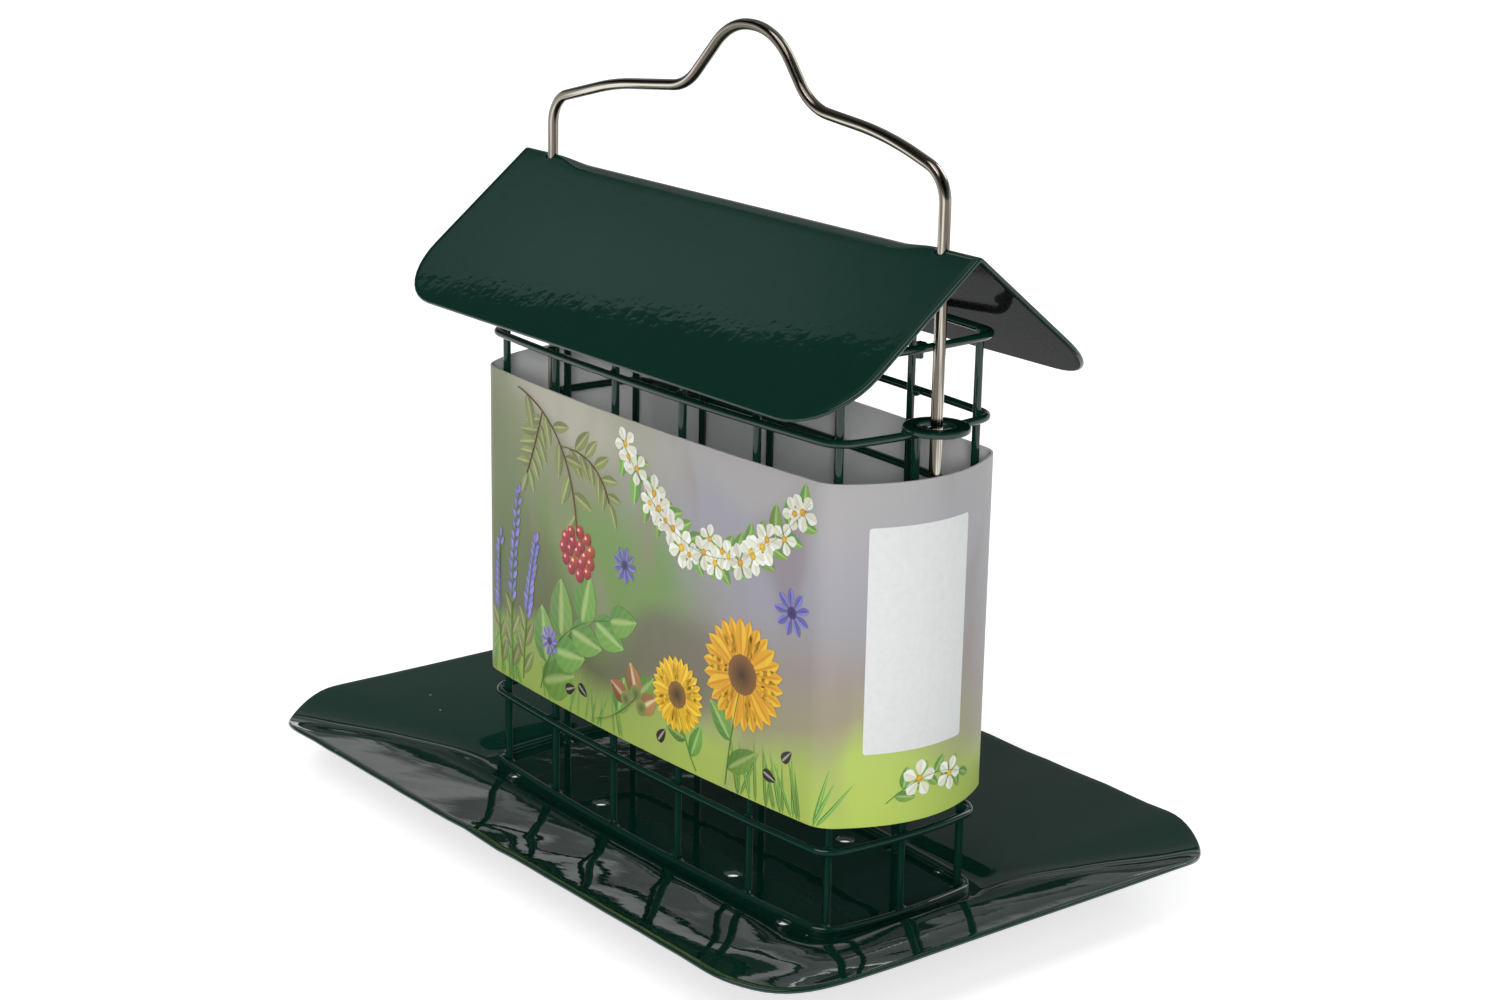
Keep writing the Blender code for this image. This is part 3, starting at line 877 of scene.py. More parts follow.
def ramp(tree, factor, stops):
    """A colour ramp with its stops as (place, colour)."""
    node = put(tree, "ShaderNodeValToRGB", {0: factor})
    bar = node.color_ramp
    while len(bar.elements) < len(stops):
        bar.elements.new(0.5)
    for element, (place, colour) in zip(bar.elements, stops):
        element.position = place
        element.color = (*colour, 1.0)
    return node.outputs[0]


def make_ground():
    """The print's ground: a garden out of focus, lime at the foot, olive on the left, mauve-grey right."""
    made, tree = new_material("print_ground")
    place = put(tree, "ShaderNodeTexCoord").outputs["Object"]
    wander = put(tree, "ShaderNodeTexNoise", {"Vector": place, "Scale": drift_scale, "Detail": 1.0})
    offset = vectors(tree, "SUBTRACT", wander.outputs["Color"], (0.5, 0.5, 0.5))
    blurred = vectors(tree, "ADD", place, vectors(tree, "MULTIPLY", offset, drift))
    axes = put(tree, "ShaderNodeSeparateXYZ", {0: blurred}).outputs
    height = fade(tree, axes["Z"], sleeve_low.z, sleeve_high.z, shape="LINEAR")
    ground = blend(tree, fade(tree, axes["X"], *ground_turn), ramp(tree, height, left_ground),
                   ramp(tree, height, right_ground))
    for (across, up), (half_across, half_up), colour, strength in soft_patches:
        away = vectors(tree, "SUBTRACT", blurred, (across, 0.0, sleeve_low.z + up))
        reach = vectors(tree, "LENGTH", vectors(tree, "MULTIPLY", away, (1 / half_across, 0.0, 1 / half_up)))
        ground = blend(tree, fade(tree, reach, *patch_edge_shares, strength, 0.0), ground, colour)
    warm = cloudy(tree, vectors(tree, "MULTIPLY", blurred, smear_shares), rust_scale, 1.0)
    ground = blend(tree, fade(tree, warm, *rust_edge, 0.0, rust_share), ground, rust_brown)
    grain = cloudy(tree, place, print_grain_scale, 2.0)
    rough = sums(tree, "MULTIPLY_ADD", grain, print_haze, print_roughness)
    paint(tree, {"Base Color": ground, "Roughness": rough, "Specular IOR Level": print_gloss})
    return made


def make_card(name, board, fibre):
    """Bare card board with short fibres and a slight tooth."""
    made, tree = new_material(name)
    tooth = cloudy(tree, put(tree, "ShaderNodeTexCoord").outputs["Object"], fibre_scale, 3.0)
    colour = blend(tree, tooth, board, fibre)
    paint(tree, {"Base Color": colour, "Roughness": card_roughness}, tooth, fibre_height)
    return made


sleeve = card_band(make_ground(), make_card("card_inside", *inside_white),
                   make_card("card_edge", *edge_white))
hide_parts("card_sleeve")
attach(sleeve, "cage")


# Print on the sleeve
# Flowers, berries, leaves and seeds, printed in glossy ink over the ground. Each motif is drawn flat, with
# its place counted along the band and up from its lower edge. It is then wrapped round the card as a thin
# film of ink.
film = 0.00004
film_sink = 0.00001
film_merge = 1e-5
leaf_green = ((0.060, 0.185, 0.035), (0.200, 0.390, 0.075), (0.420, 0.560, 0.200))
olive_green = ((0.100, 0.130, 0.035), (0.260, 0.300, 0.090), (0.450, 0.470, 0.230))
berry_red = ((0.200, 0.012, 0.014), (0.560, 0.045, 0.035), (0.950, 0.640, 0.580))
petal_yellow = ((0.620, 0.230, 0.012), (0.860, 0.540, 0.040))
petal_white = ((0.640, 0.640, 0.420), (0.860, 0.860, 0.840))
petal_blue = ((0.070, 0.050, 0.260), (0.270, 0.250, 0.640))
heart_brown = ((0.045, 0.020, 0.010), (0.240, 0.110, 0.030))
heart_yellow = ((0.600, 0.300, 0.020), (0.800, 0.560, 0.060))
seed_stripes = ((0.035, 0.030, 0.026), (0.520, 0.480, 0.400))
nut_brown = ((0.150, 0.060, 0.022), (0.440, 0.220, 0.085), (0.800, 0.620, 0.400))
stem_green = (0.110, 0.220, 0.050)
twig_brown = (0.130, 0.075, 0.045)
bare_white = (0.690, 0.705, 0.700)
blade_steps = 10
blade_lines = (-1, -0.62, -0.30, -0.07, 0.07, 0.30, 0.62, 1)
blade_shades = (0.75, 0.30)
blade_tip_shade = 0.25
blade_rounding = 0.8
petal_fullness = 1.5
petal_start_share = 0.5
petal_lap_share = 0.2
rib_width_share = 0.1
rib_cover_share = 0.8
spot_rings = (0.02, 1, 5)
spot_sides = 12
shine_turn = 2.2
shine_reach = 0.5
tint_spread = 0.14
ink_mottle_scale = 700.0
ink_mottle = 0.12
ink_level = 0.94
ink_hue_share = 0.10
ink_roughness = 0.26
ink_gloss = 0.3
leaf_lean_spread = (0.8, 1.15)
leaf_size_spread = (0.85, 1.1)
grass_foot_spread = 0.1
grass_lean_spread = 0.25
grass_size_spread = (0.85, 1.15)


def lerp(first, second, share):
    """A colour or place between two."""
    return np.asarray(first) + (np.asarray(second) - np.asarray(first)) * share


def film_mesh(name, patches):
    """A thin closed film for each patch: a grid of flat places and one of colours, which may wrap round."""
    points, inks, faces = [], [], []
    for places, colours, wraps, lift in patches:
        rows, columns = places.shape[:2]
        faces += [[len(points) + i for i in face] for face in shell_faces(rows, columns, wraps, 0)]
        points += [(x, y, z) for z in (lift + film, -film_sink) for x, y in places.reshape(-1, 2)]
        inks += [(*colour, 1.0) for colour in colours.reshape(-1, 3)] * 2
    mesh = bpy.data.meshes.new(name)
    mesh.from_pydata(points, [], faces)
    mesh.attributes.new("ink", "FLOAT_COLOR", "POINT").data.foreach_set("color", np.ravel(inks))
    turn_outwards(mesh, film_merge)
    return new_object(name, mesh)


def blade_patch(width, fullness, tones, veins=0.0, turn=0.0, start=0.0, lift=0.0):
    """A leaf or petal of unit length along X: two tones either side of a pale rib, with faint side veins."""
    along = np.linspace(0, 1, blade_steps)[:, None]
    across = np.array(blade_lines)[None, :]
    x = start + (1 - start) * along + 0 * across
    y = width * np.sin(math.pi * along ** fullness) ** blade_rounding * across
    dark, light, rib = tones
    checks = np.where(np.indices(x.shape).sum(0) % 2, veins, -veins)
    shades = np.where(across < 0, *blade_shades) + blade_tip_shade * along + checks
    sides = lerp(dark, light, shades[..., None])
    ribbed = lerp(sides, rib, rib_cover_share)
    colours = np.where(np.abs(across)[..., None] < rib_width_share, ribbed, sides)
    cosine, sine = math.cos(turn), math.sin(turn)
    return np.stack([x * cosine - y * sine, x * sine + y * cosine], -1), colours, False, lift


def round_patch(radius, tones, shine=None, lift=0.0):
    """A round spot: a berry with a shine, or the heart of a flower."""
    rings = np.linspace(*spot_rings)[:, None]
    turns = np.linspace(0, math.tau, spot_sides, endpoint=False)
    places = radius * rings[..., None] * np.stack([np.cos(turns), np.sin(turns)], -1)
    lit = 0.5 + 0.5 * rings * np.cos(turns - shine_turn) if shine else 1 - rings + 0 * turns
    colours = lerp(*tones, lit[..., None])
    if shine:
        colours[1:3, np.abs(turns - shine_turn) < shine_reach] = shine
    return places, colours, True, lift


def blossom_patches(petals, width, tones, heart, heart_share):
    """Petals round a heart, each a little paler towards its end."""
    inner, outer = tones
    start = heart_share * petal_start_share
    lap = film * petal_lap_share
    ring = [blade_patch(width, petal_fullness, (inner, outer, inner), 0.0, math.tau * k / petals, start,
                        lap * (k % 2)) for k in range(petals)]
    return ring + [round_patch(heart_share, heart, None, film)]


# Widths and reaches inside a motif are shares of its length
back_petals = [blade_patch(0.13, 1.2, (*petal_yellow, petal_yellow[0]), 0.05, math.tau * (k + 0.5) / 13, 0.2)
               for k in range(13)]
motif_patches = {
    "leaf": [blade_patch(0.24, 0.8, leaf_green, 0.10)],
    "olive_leaf": [blade_patch(0.20, 0.85, olive_green, 0.08)],
    "broad_leaf": [blade_patch(0.34, 0.75, leaf_green, 0.12)],
    "grass_blade": [blade_patch(0.035, 0.55, leaf_green)],
    "berry": [round_patch(0.5, berry_red[:2], berry_red[2])],
    "sunflower": back_petals + blossom_patches(13, 0.13, petal_yellow, heart_brown[::-1], 0.36),
    "blossom": blossom_patches(5, 0.32, petal_white, heart_yellow, 0.2),
    "bud": [blade_patch(0.30, 0.8, (*petal_blue, petal_blue[1]), 0.1)],
    "cornflower": blossom_patches(9, 0.17, petal_blue, (petal_blue[0], heart_brown[0]), 0.26),
    "acorn": [blade_patch(0.36, 0.85, nut_brown)],
    "acorn_cup": [round_patch(0.5, olive_green[1::-1])],
    "seed": [blade_patch(0.30, 0.65, (seed_stripes[0], *seed_stripes))],
}
motifs = {name: film_mesh(name, patches) for name, patches in motif_patches.items()}


def make_wrap():
    """Bends flat print round the band: X runs along its outline, Y up it and Z off its face."""
    group, given, end = new_group(
        "wrap_round_band", "GeometryNodeTree", geometry | {"Band": "Object"}, geometry)
    position = put(group, "GeometryNodeInputPosition").outputs[0]
    flat = put(group, "ShaderNodeSeparateXYZ", {0: position}).outputs
    band = put(group, "GeometryNodeObjectInfo", {0: given["Band"]}).outputs["Geometry"]
    sample = put(group, "GeometryNodeSampleCurve", {"Curves": band, "Length": flat["X"]}, mode="LENGTH")
    outward = vectors(group, "CROSS_PRODUCT", sample.outputs["Tangent"], (0, 0, 1))
    off = vectors(group, "SCALE", outward, flat["Z"])
    raised = vectors(group, "ADD", sample.outputs["Position"], off)
    rise = put(group, "ShaderNodeCombineXYZ", {"Z": flat["Y"]}).outputs[0]
    place = vectors(group, "ADD", raised, rise)
    moved = put(group, "GeometryNodeSetPosition", {"Geometry": given["Geometry"], "Position": place})
    feed(group, end, {"Geometry": moved.outputs[0]})
    return group


wrap_round_band = make_wrap()


def wrapped(tree, shape, band):
    """The shape bent round the band."""
    bent = put(tree, "GeometryNodeGroup", {"Geometry": shape, "Band": band}, node_tree=wrap_round_band)
    return bent.outputs[0]


def make_motif_tree():
    """Prints one motif at each flat point, turned and sized as the point says, and tinted at random."""
    tree, given, end = new_group(
        "printed_motifs", "GeometryNodeTree",
        geometry | {"Motif": "Object", "Band": "Object", "Tint Spread": "Float", "Seed": "Int",
                    "Ink": "Material"}, geometry)
    motif = put(tree, "GeometryNodeObjectInfo", {0: given["Motif"]}).outputs["Geometry"]
    turn, size = (carried(tree, name, "FLOAT") for name in ("turn", "size"))
    turned = put(tree, "FunctionNodeAxisAngleToRotation", {"Axis": (0, 0, 1), "Angle": turn}).outputs[0]
    sized = put(tree, "ShaderNodeCombineXYZ", {"X": size, "Y": size, "Z": 1.0}).outputs[0]
    placed = put(tree, "GeometryNodeInstanceOnPoints", {
        "Points": given["Geometry"], "Instance": motif, "Rotation": turned, "Scale": sized}).outputs[0]
    spread = given["Tint Spread"]
    tint = chance(tree, sums(tree, "MULTIPLY", spread, -1.0), spread, given["Seed"])
    tinted = store(tree, placed, "tint", tint, domain="INSTANCE")
    real = put(tree, "GeometryNodeRealizeInstances", {"Geometry": tinted}).outputs[0]
    return finish_tree(tree, end, wrapped(tree, real, given["Band"]), given["Ink"], False)


def make_line_tree():
    """Prints a stem along each flat path, as a flat ribbon of one colour that follows the band."""
    tree, given, end = new_group(
        "printed_lines", "GeometryNodeTree",
        geometry | {"Band": "Object", "Width": "Float", "Thickness": "Float", "Colour": "Color",
                    "Ink": "Material"}, geometry)
    ribbon = put(tree, "GeometryNodeCurvePrimitiveQuadrilateral",
                 {"Width": given["Thickness"], "Height": given["Width"]}).outputs[0]
    line = put(tree, "GeometryNodeCurveToMesh",
               {"Curve": given["Geometry"], "Profile Curve": ribbon, "Fill Caps": True}).outputs[0]
    coloured = store(tree, line, "ink", given["Colour"], "FLOAT_COLOR")
    return finish_tree(tree, end, wrapped(tree, coloured, given["Band"]), given["Ink"], False)


def make_ink():
    """Glossy printing ink: the motif's own colours, tinted a little, with the mottle of a coarse print."""
    made, tree = new_material("print_ink")
    ink = put(tree, "ShaderNodeAttribute", attribute_name="ink").outputs["Color"]
    tint = put(tree, "ShaderNodeAttribute", attribute_name="tint").outputs["Fac"]
    mottle = cloudy(tree, put(tree, "ShaderNodeTexCoord").outputs["Object"], ink_mottle_scale, 2.0)
    value = sums(tree, "MULTIPLY_ADD", mottle, ink_mottle, sums(tree, "ADD", tint, ink_level))
    hue = sums(tree, "MULTIPLY_ADD", tint, ink_hue_share, 0.5)
    varied = put(tree, "ShaderNodeHueSaturation", {"Hue": hue, "Value": value, "Color": ink}).outputs[0]
    rough = sums(tree, "MULTIPLY_ADD", mottle, ink_mottle, ink_roughness)
    paint(tree, {"Base Color": varied, "Roughness": rough, "Specular IOR Level": ink_gloss})
    return made


printed_motifs = make_motif_tree()
printed_lines = make_line_tree()
print_ink = make_ink()
millimetre = 0.001
print_margin = 0.8 * millimetre
card_height = sleeve_high.z - sleeve_low.z
band_steps = np.linalg.norm(np.roll(sleeve_outline, -1, 0) - sleeve_outline, axis=1)
band_marks = np.cumsum(band_steps) - band_steps
band_length = band_steps.sum()
front_middle = band_marks[np.argmin(np.abs(sleeve_outline[:len(sleeve_outline) // 2, 0]))]
end_middle = band_marks[np.argmax(sleeve_outline[:, 0])]
end_offset = (end_middle - front_middle) / millimetre
band = path_object([[(x, y, sleeve_low.z) for x, y in sleeve_outline]], True)


def stem_path(start, bend, end, steps=24):
    """A stem from start to end, drawn towards the bend between them."""
    shares = np.linspace(0, 1, steps)[:, None]
    start, bend, end = np.array((start, bend, end), float)
    return (1 - shares) ** 2 * start + 2 * shares * (1 - shares) * bend + shares ** 2 * end


def leaves_on(path, count, size, lean, fall, first, seed):
    """Places for leaves on both sides of a stem, smaller towards its tip, and one at the tip."""
    draw = np.random.default_rng(seed)
    spots = []
    for k in range(count):
        share = first + (1 - first) * k / count
        here = share * (len(path) - 1)
        a, b = path[int(here)], path[min(int(here) + 1, len(path) - 1)]
        heading = math.atan2(b[1] - a[1], b[0] - a[0])
        side = 1 if k % 2 else -1
        spots.append((*(a + (b - a) * (here % 1)), heading + side * lean * draw.uniform(*leaf_lean_spread),
                      size * (1 - fall * share) * draw.uniform(*leaf_size_spread)))
    a, b = path[-2], path[-1]
    return spots + [(*b, math.atan2(b[1] - a[1], b[0] - a[0]), size * (1 - fall))]


def grass_tuft(x, spread, count, size, seed):
    """Places for blades of grass along the foot of the card."""
    draw = np.random.default_rng(seed)
    return [(x + draw.normal(0, spread), abs(draw.normal(0, grass_foot_spread)),
             math.pi / 2 + draw.normal(0, grass_lean_spread), size * draw.uniform(*grass_size_spread))
            for _ in range(count)]


# The design for a broad face and the end beside it, in millimetres from the face's middle and lower edge.
# A line is its paths, its width and its colour. A spot is its place, its turn and its size.
twig = stem_path((-48, 74), (-24, 70), (-22, 44))
rowan = [stem_path(twig[6], (-40, 62), (-44, 54)), stem_path(twig[12], (-14, 66), (-9, 55))]
swag = stem_path((-4, 71), (26, 33), (59, 71), 48)
stalks = [stem_path((-51, 2), (-53, 24), (-48, 48)), stem_path((-46, 2), (-45, 22), (-40, 38)),
          stem_path((-56, 2), (-59, 18), (-57, 35))]
spray = stem_path((-38, 2), (-32, 22), (-9, 27))
nut_twig = stem_path((-14, 2), (-6, 4), (2, 12))
flower_stems = [stem_path((34, 1), (35, 12), (39, 27)), stem_path((24, 1), (20, 6), (17, 16))]
end_sprig = stem_path(*((end_offset + x, y) for x, y in ((-11, 5), (-1, 13), (10, 8))))
lines = {"twig": ([twig, nut_twig] + rowan, 0.7, twig_brown), "swag_stem": ([swag], 0.5, stem_green),
         "stalks": (stalks + flower_stems, 0.7, stem_green),
         "spray_stem": ([spray, end_sprig], 0.6, stem_green)}
# Leaves and buds are the stem that bears them, their number, size and lean, the share by which they shrink,
# the share of the stem below the first one, and a seed
leafing = {
    "olive_leaf": [*((branch, 10, 8.0, 0.95, 0.25, 0.12, k) for k, branch in enumerate(rowan)),
                   (twig, 9, 9.0, 0.9, 0.2, 0.08, 5),
                   *((stalk[:10], 4, 8.5, 0.5, 0.3, 0.1, 41 + k) for k, stalk in enumerate(stalks))],
    "bud": [(stalk, 20, 4.0, 0.6, 0.35, 0.42, 31 + k) for k, stalk in enumerate(stalks)],
    "leaf": [(swag, 30, 7.5, 0.85, 0.0, 0.02, 21), (flower_stems[0][4:], 3, 11.0, 0.9, 0.2, 0.0, 61),
             (flower_stems[1][6:], 3, 8.5, 0.9, 0.2, 0.0, 62), (end_sprig, 9, 5.6, 0.85, 0.2, 0.1, 71)],
    "broad_leaf": [(spray, 7, 17.0, 0.75, 0.35, 0.05, 51), (nut_twig, 2, 10.0, 0.9, 0.1, 0.1, 66)],
}
spots = {name: [] for name in motifs}
for name, habits in leafing.items():
    for habit in habits:
        spots[name] += leaves_on(*habit)

# A cluster of berries hangs from the twig, in rings given as radius and number. Blossoms lie along the swag
# and on the end's sprig.
berry_rings = ((0.0, 1), (3.1, 6), (6.0, 11))
berry_drop = 4
berry_squash_share = 0.85
berry_scatter = 0.25
berry_lean = 0.4
berry_sizes = (3.0, 3.7)
blossom_scatter = (1.0, 1.5)
blossom_sizes = (3.4, 4.8)
end_blossoms = ((-3, 9.5, 0.2, 4.4), (6, 8.6, 1.1, 4.0))
cluster_x, cluster_y = twig[-1] - (0, berry_drop)
draw = np.random.default_rng(11)
for ring, count in berry_rings:
    for turn in np.arange(count) * math.tau / count + ring:
        x = cluster_x + ring * math.cos(turn) + draw.normal(0, berry_scatter)
        y = cluster_y + ring * berry_squash_share * math.sin(turn) + draw.normal(0, berry_scatter)
        spots["berry"].append((x, y, draw.uniform(-berry_lean, berry_lean), draw.uniform(*berry_sizes)))
for x, y in swag[1:-1:2]:
    place = (x + draw.normal(0, blossom_scatter[0]), y + draw.normal(0, blossom_scatter[1]))
    spots["blossom"].append((*place, draw.uniform(0, math.tau), draw.uniform(*blossom_sizes)))
spots["blossom"] += [(end_offset + x, y, turn, size) for x, y, turn, size in end_blossoms]

# Single flowers, acorns with their cups, seeds, and tufts of grass: place, spread, number, size and seed
spots["sunflower"] += [(39, 28, 0.2, 13.0), (17, 17, 0.7, 9.0)]
spots["cornflower"] += [(54, 46, 0.3, 5.4), (-3, 42, 0.0, 4.4), (-34, 15, 0.9, 4.0)]
acorns = ((2.0, 12, 1.9, 6.4), (-1.5, 10, 2.7, 5.8), (3.2, 9.5, 0.6, 6.0))
acorn_share = 1.25
cup_share = 0.66
cup_shift_share = 0.12
for x, y, turn, size in acorns:
    shift = cup_shift_share * size
    spots["acorn"].append((x, y, turn, size * acorn_share))
    cup = (x + shift * math.cos(turn), y + shift * math.sin(turn), turn, size * cup_share)
    spots["acorn_cup"].append(cup)
spots["seed"] += [(-27, 5, 0.4, 4.6), (-21.5, 8, -0.5, 4.4), (10, 4, 0.9, 4.6), (46, 8, -0.3, 4.6),
                  (52, 12, 0.8, 4.2)]
tufts = ((-54, 5, 16, 17.0, 81), (-20, 9, 14, 10.0, 82), (50, 8, 22, 13.0, 83))
for tuft in tufts:
    spots["grass_blade"] += grass_tuft(*tuft)
for name in ("olive_leaf", "leaf", "broad_leaf"):
    spots[name] = [(x, y, turn, size) for x, y, turn, size in spots[name]
                   if print_margin < (y + size * math.sin(turn)) * millimetre < card_height - print_margin]
layers = {"grass_blade": 0, "olive_leaf": 1, "leaf": 1, "broad_leaf": 1, "acorn_cup": 3, "sunflower": 3}
usual_layer = 2
layer_pitch = 1.2 * film
overlap_pitch = 0.5 * film


def on_face(x, y, lift, face):
    """The flat place on the band of a place in the design, on the front face (0) or the back face (1)."""
    return (front_middle + face * band_length / 2 + x * millimetre) % band_length, y * millimetre, lift


for name, (paths, width, colour) in lines.items():
    flat = [[on_face(x, y, film / 2, face) for x, y in path] for face in (0, 1) for path in paths]
    stems = grow(path_object(flat), printed_lines, "print_" + name, band=band, width=width * millimetre,
                 thickness=film, colour=(*colour, 1.0), ink=print_ink)
    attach(stems, "cage")
for number, (name, places) in enumerate(spots.items()):
    lift = layer_pitch * layers.get(name, usual_layer)
    flat = [on_face(x, y, lift + overlap_pitch * k / len(places), face)
            for face in (0, 1) for k, (x, y, turn, size) in enumerate(places)]
    turns, sizes = np.array([place[2:] for place in places] * 2).T
    shapes = grow(points_object(flat, turn=turns, size=sizes * millimetre), printed_motifs, "print_" + name,
                  motif=motifs[name], band=band, tint_spread=tint_spread, seed=number, ink=print_ink)
    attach(shapes, "cage")

# The bare white panel on one end
panel_width = 0.026
panel_height = 0.050
panel_foot_height = 0.0165
panel_corner = 0.0007
panel_shift = -0.0035
panel_columns = 13
panel_rows = 9
panel_corner_rows = 5


def panel_patch():
    """A rounded white rectangle in a grid fine enough to follow the card."""
    ends = panel_corner * (1 - np.cos(np.linspace(0, math.pi / 2, panel_corner_rows)))
    middle = np.linspace(panel_corner, panel_height - panel_corner, panel_rows)[1:-1]
    rises = np.concatenate([ends, middle, panel_height - ends[::-1]])
    depth = np.minimum(np.minimum(rises, panel_height - rises), panel_corner)
    half = panel_width / 2 - panel_corner + np.sqrt(panel_corner ** 2 - (panel_corner - depth) ** 2)
    x = half[:, None] * np.linspace(-1, 1, panel_columns)[None, :]
    return np.stack([x, rises[:, None] + 0 * x], -1), np.full((*x.shape, 3), bare_white), False, 0.0


motifs["panel"] = film_mesh("panel", [panel_patch()])
panel_place = points_object([(end_middle + panel_shift, panel_foot_height, 0.0)], turn=[0.0], size=[1.0])
panel = grow(panel_place, printed_motifs, "print_panel", motif=motifs["panel"], band=band,
             tint_spread=0.0, seed=1, ink=print_ink)
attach(panel, "cage")
for pattern in (*motifs.values(), band):
    bpy.data.objects.remove(pattern)


# Studio
# A white paper sweep under soft lamps, as for a catalogue, dim overhead. On the left stand a tall window for
# the roof's sheen, a broad grey panel for the tray's wings and a low window for its floor.
floor_radius = 8.0
floor_sides = 64
floor_white = (0.84, 0.84, 0.84, 1)
floor_glow = 0.60
paper_roughness = 0.9
horizon_height = 0.02
horizon_edge = (0.070, 0.105)
horizon_dim_share = 0.75
room_heights = (0.0, 0.16, 0.36)
room_levels = (0.9, 0.34, 0.03)
sweep_side = (-0.78, 0.62, 0.0)
sweep_edge = (-0.3, 0.4)
sweep_dim_share = 0.33
# Windows are placed as seen from the feeder: aside to the back and above, both over the distance to the left
roof_window_level = 0.32
roof_window_side = (-0.0953, -0.0937)
roof_window_fade = (-0.085, 0.02)
roof_window_fade_share = 0.8
roof_window_foot = (0.55, 0.75)
roof_window_head = (0.82, 0.98)
roof_window_rest_share = 0.35
window_tint = (0.80, 1.0, 1.0, 1)
wing_panel_level = 0.21
wing_panel_side = (0.12, 0.18)
wing_panel_top = (0.98, 1.08)
wing_panel_top_side = (-0.4, -0.3)
wing_panel_slope = 0.62
wing_panel_foot = (0.13, 0.17)
floor_window_level = 0.50
floor_window_side = (0.45, 0.51)
floor_window_foot = (0.36, 0.44)
floor_window_slope = 0.34
floor_window_head = (0.24, 0.23)
nearest_left = 0.001
# Each lamp: its way round from the front, its height and its width in degrees, its share of a plain level
# and whether the coat mirrors it. The two at the photographer's back stay out of reflections.
lamps = {"key_lamp": (45, 22, 40, 0.36, False), "front_fill": (51, 14, 14, 0.44, False),
         "top_lamp": (0, 60, 40, 0.30, True), "rear_lamp": (180, 35, 30, 0.20, True)}

bpy.context.scene.view_settings.view_transform = "Standard"


def seen_by(tree):
    """Whether a ray comes straight from the camera, and whether it comes off gloss or through glass."""
    rays = put(tree, "ShaderNodeLightPath").outputs
    return rays["Is Camera Ray"], sums(tree, "ADD", rays["Is Glossy Ray"], rays["Is Transmission Ray"])


paper, paper_tree = new_material("studio_paper")
paper_watched = sums(paper_tree, "ADD", *seen_by(paper_tree), clamp=True)
paint(paper_tree, {"Base Color": floor_white, "Roughness": paper_roughness, "Specular IOR Level": 0.0,
                   "Emission Color": (1.0, 1.0, 1.0, 1.0),
                   "Emission Strength": sums(paper_tree, "MULTIPLY", paper_watched, floor_glow)})
ground = bmesh.new()
bmesh.ops.create_circle(ground, cap_ends=True, segments=floor_sides, radius=floor_radius)
floor = new_object("floor", bpy.data.meshes.new("floor"))
ground.to_mesh(floor.data)
ground.free()
floor.data.materials.append(paper)

world = bpy.data.worlds.new("studio")
world.use_nodes = True
sky = world.node_tree
heading = put(sky, "ShaderNodeTexCoord").outputs["Generated"]
axes = put(sky, "ShaderNodeSeparateXYZ", {0: heading}).outputs
leftward = sums(sky, "MAXIMUM", sums(sky, "MULTIPLY", axes["X"], -1.0), nearest_left)
aside = sums(sky, "DIVIDE", axes["Y"], leftward)
above = sums(sky, "DIVIDE", axes["Z"], leftward)


def product(*terms):
    """The product of values in the sky."""
    whole = terms[0]
    for term in terms[1:]:
        whole = sums(sky, "MULTIPLY", whole, term)
    return whole


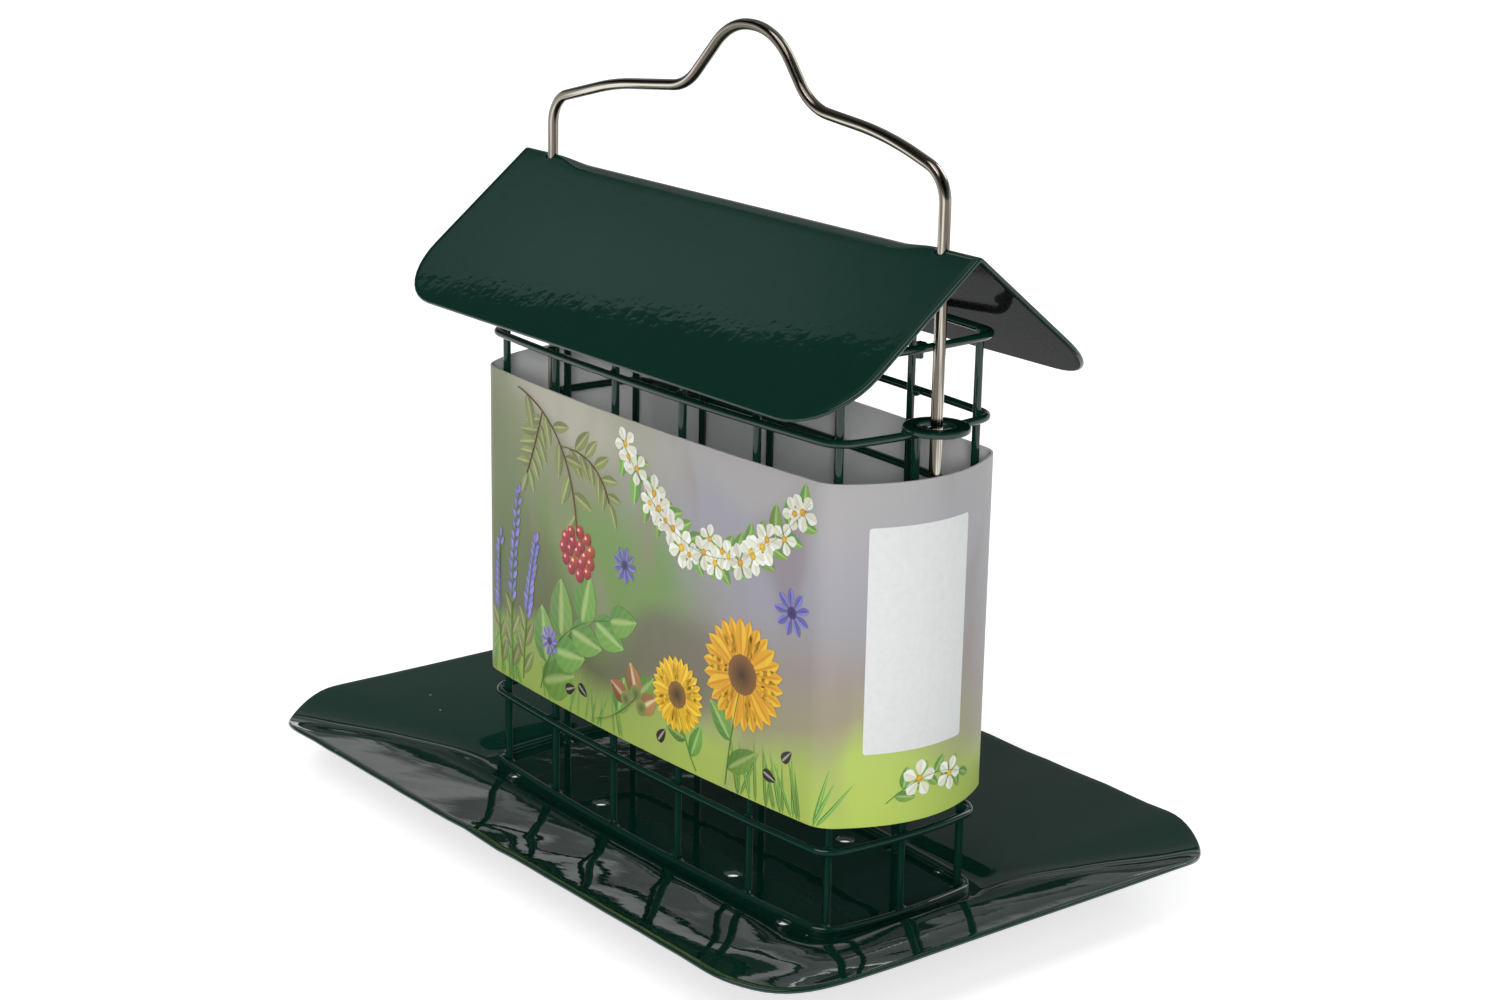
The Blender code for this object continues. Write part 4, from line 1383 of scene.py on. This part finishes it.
low_level, mid_level, high_level = room_levels
low_room = fade(sky, axes["Z"], *room_heights[:2], low_level, mid_level, "LINEAR")
high_room = fade(sky, axes["Z"], *room_heights[1:], 0.0, mid_level - high_level, "LINEAR")
facing = vectors(sky, "DOT_PRODUCT", heading, sweep_side)
room = product(sums(sky, "SUBTRACT", low_room, high_room), fade(sky, facing, *sweep_edge, sweep_dim_share),
               fade(sky, axes["Z"], *horizon_edge, 1 - horizon_dim_share, 1.0))
window_rise = sums(sky, "SUBTRACT", fade(sky, above, *roof_window_foot),
                   fade(sky, above, *roof_window_head, 0.0, 1 - roof_window_rest_share))
roof_window = product(fade(sky, aside, *roof_window_side, 0.0, roof_window_level),
                      fade(sky, aside, *roof_window_fade, 1.0, 1 - roof_window_fade_share), window_rise)
over_slope = sums(sky, "SUBTRACT", above, sums(sky, "MULTIPLY", aside, wing_panel_slope))
panel_reach = sums(sky, "MAXIMUM", fade(sky, aside, *wing_panel_side),
                   product(fade(sky, above, *wing_panel_top), fade(sky, aside, *wing_panel_top_side)))
wing_panel = product(panel_reach, fade(sky, over_slope, *wing_panel_foot, 0.0, wing_panel_level))
under_slope = sums(sky, "SUBTRACT", above, sums(sky, "MULTIPLY", aside, floor_window_slope))
floor_window = product(fade(sky, under_slope, *floor_window_head, 0.0, floor_window_level),
                       fade(sky, above, *floor_window_foot), fade(sky, aside, *floor_window_side))
windows = sums(sky, "ADD", sums(sky, "ADD", roof_window, wing_panel), floor_window)

# The background is white to the camera, and in reflections up to the horizon
by_camera, by_gloss = seen_by(sky)
at_horizon = sums(sky, "LESS_THAN", axes["Z"], horizon_height)
white_here = sums(sky, "ADD", by_camera, product(by_gloss, at_horizon), clamp=True)
strength = put(sky, "ShaderNodeMix", {0: white_here, 2: sums(sky, "ADD", room, windows), 3: 1.0}).outputs[0]
not_white = sums(sky, "SUBTRACT", 1.0, white_here)
in_window = product(sums(sky, "GREATER_THAN", roof_window, wing_panel), not_white)
feed(sky, sky.nodes["Background"], {"Strength": strength,
                                    "Color": blend(sky, in_window, (1.0, 1.0, 1.0, 1.0), window_tint)})
bpy.context.scene.world = world

for name, (azimuth, elevation, spread, share, mirrored) in lamps.items():
    a, e = math.radians(azimuth), math.radians(elevation)
    towards = Vector((math.sin(a) * math.cos(e), -math.cos(a) * math.cos(e), math.sin(e)))
    light = bpy.data.lights.new(name, "SUN")
    light.angle = math.radians(spread)
    light.energy = share * math.pi
    lamp = new_object(name, light)
    lamp.rotation_euler = towards.to_track_quat("Z", "Y").to_euler()
    lamp.visible_glossy = mirrored
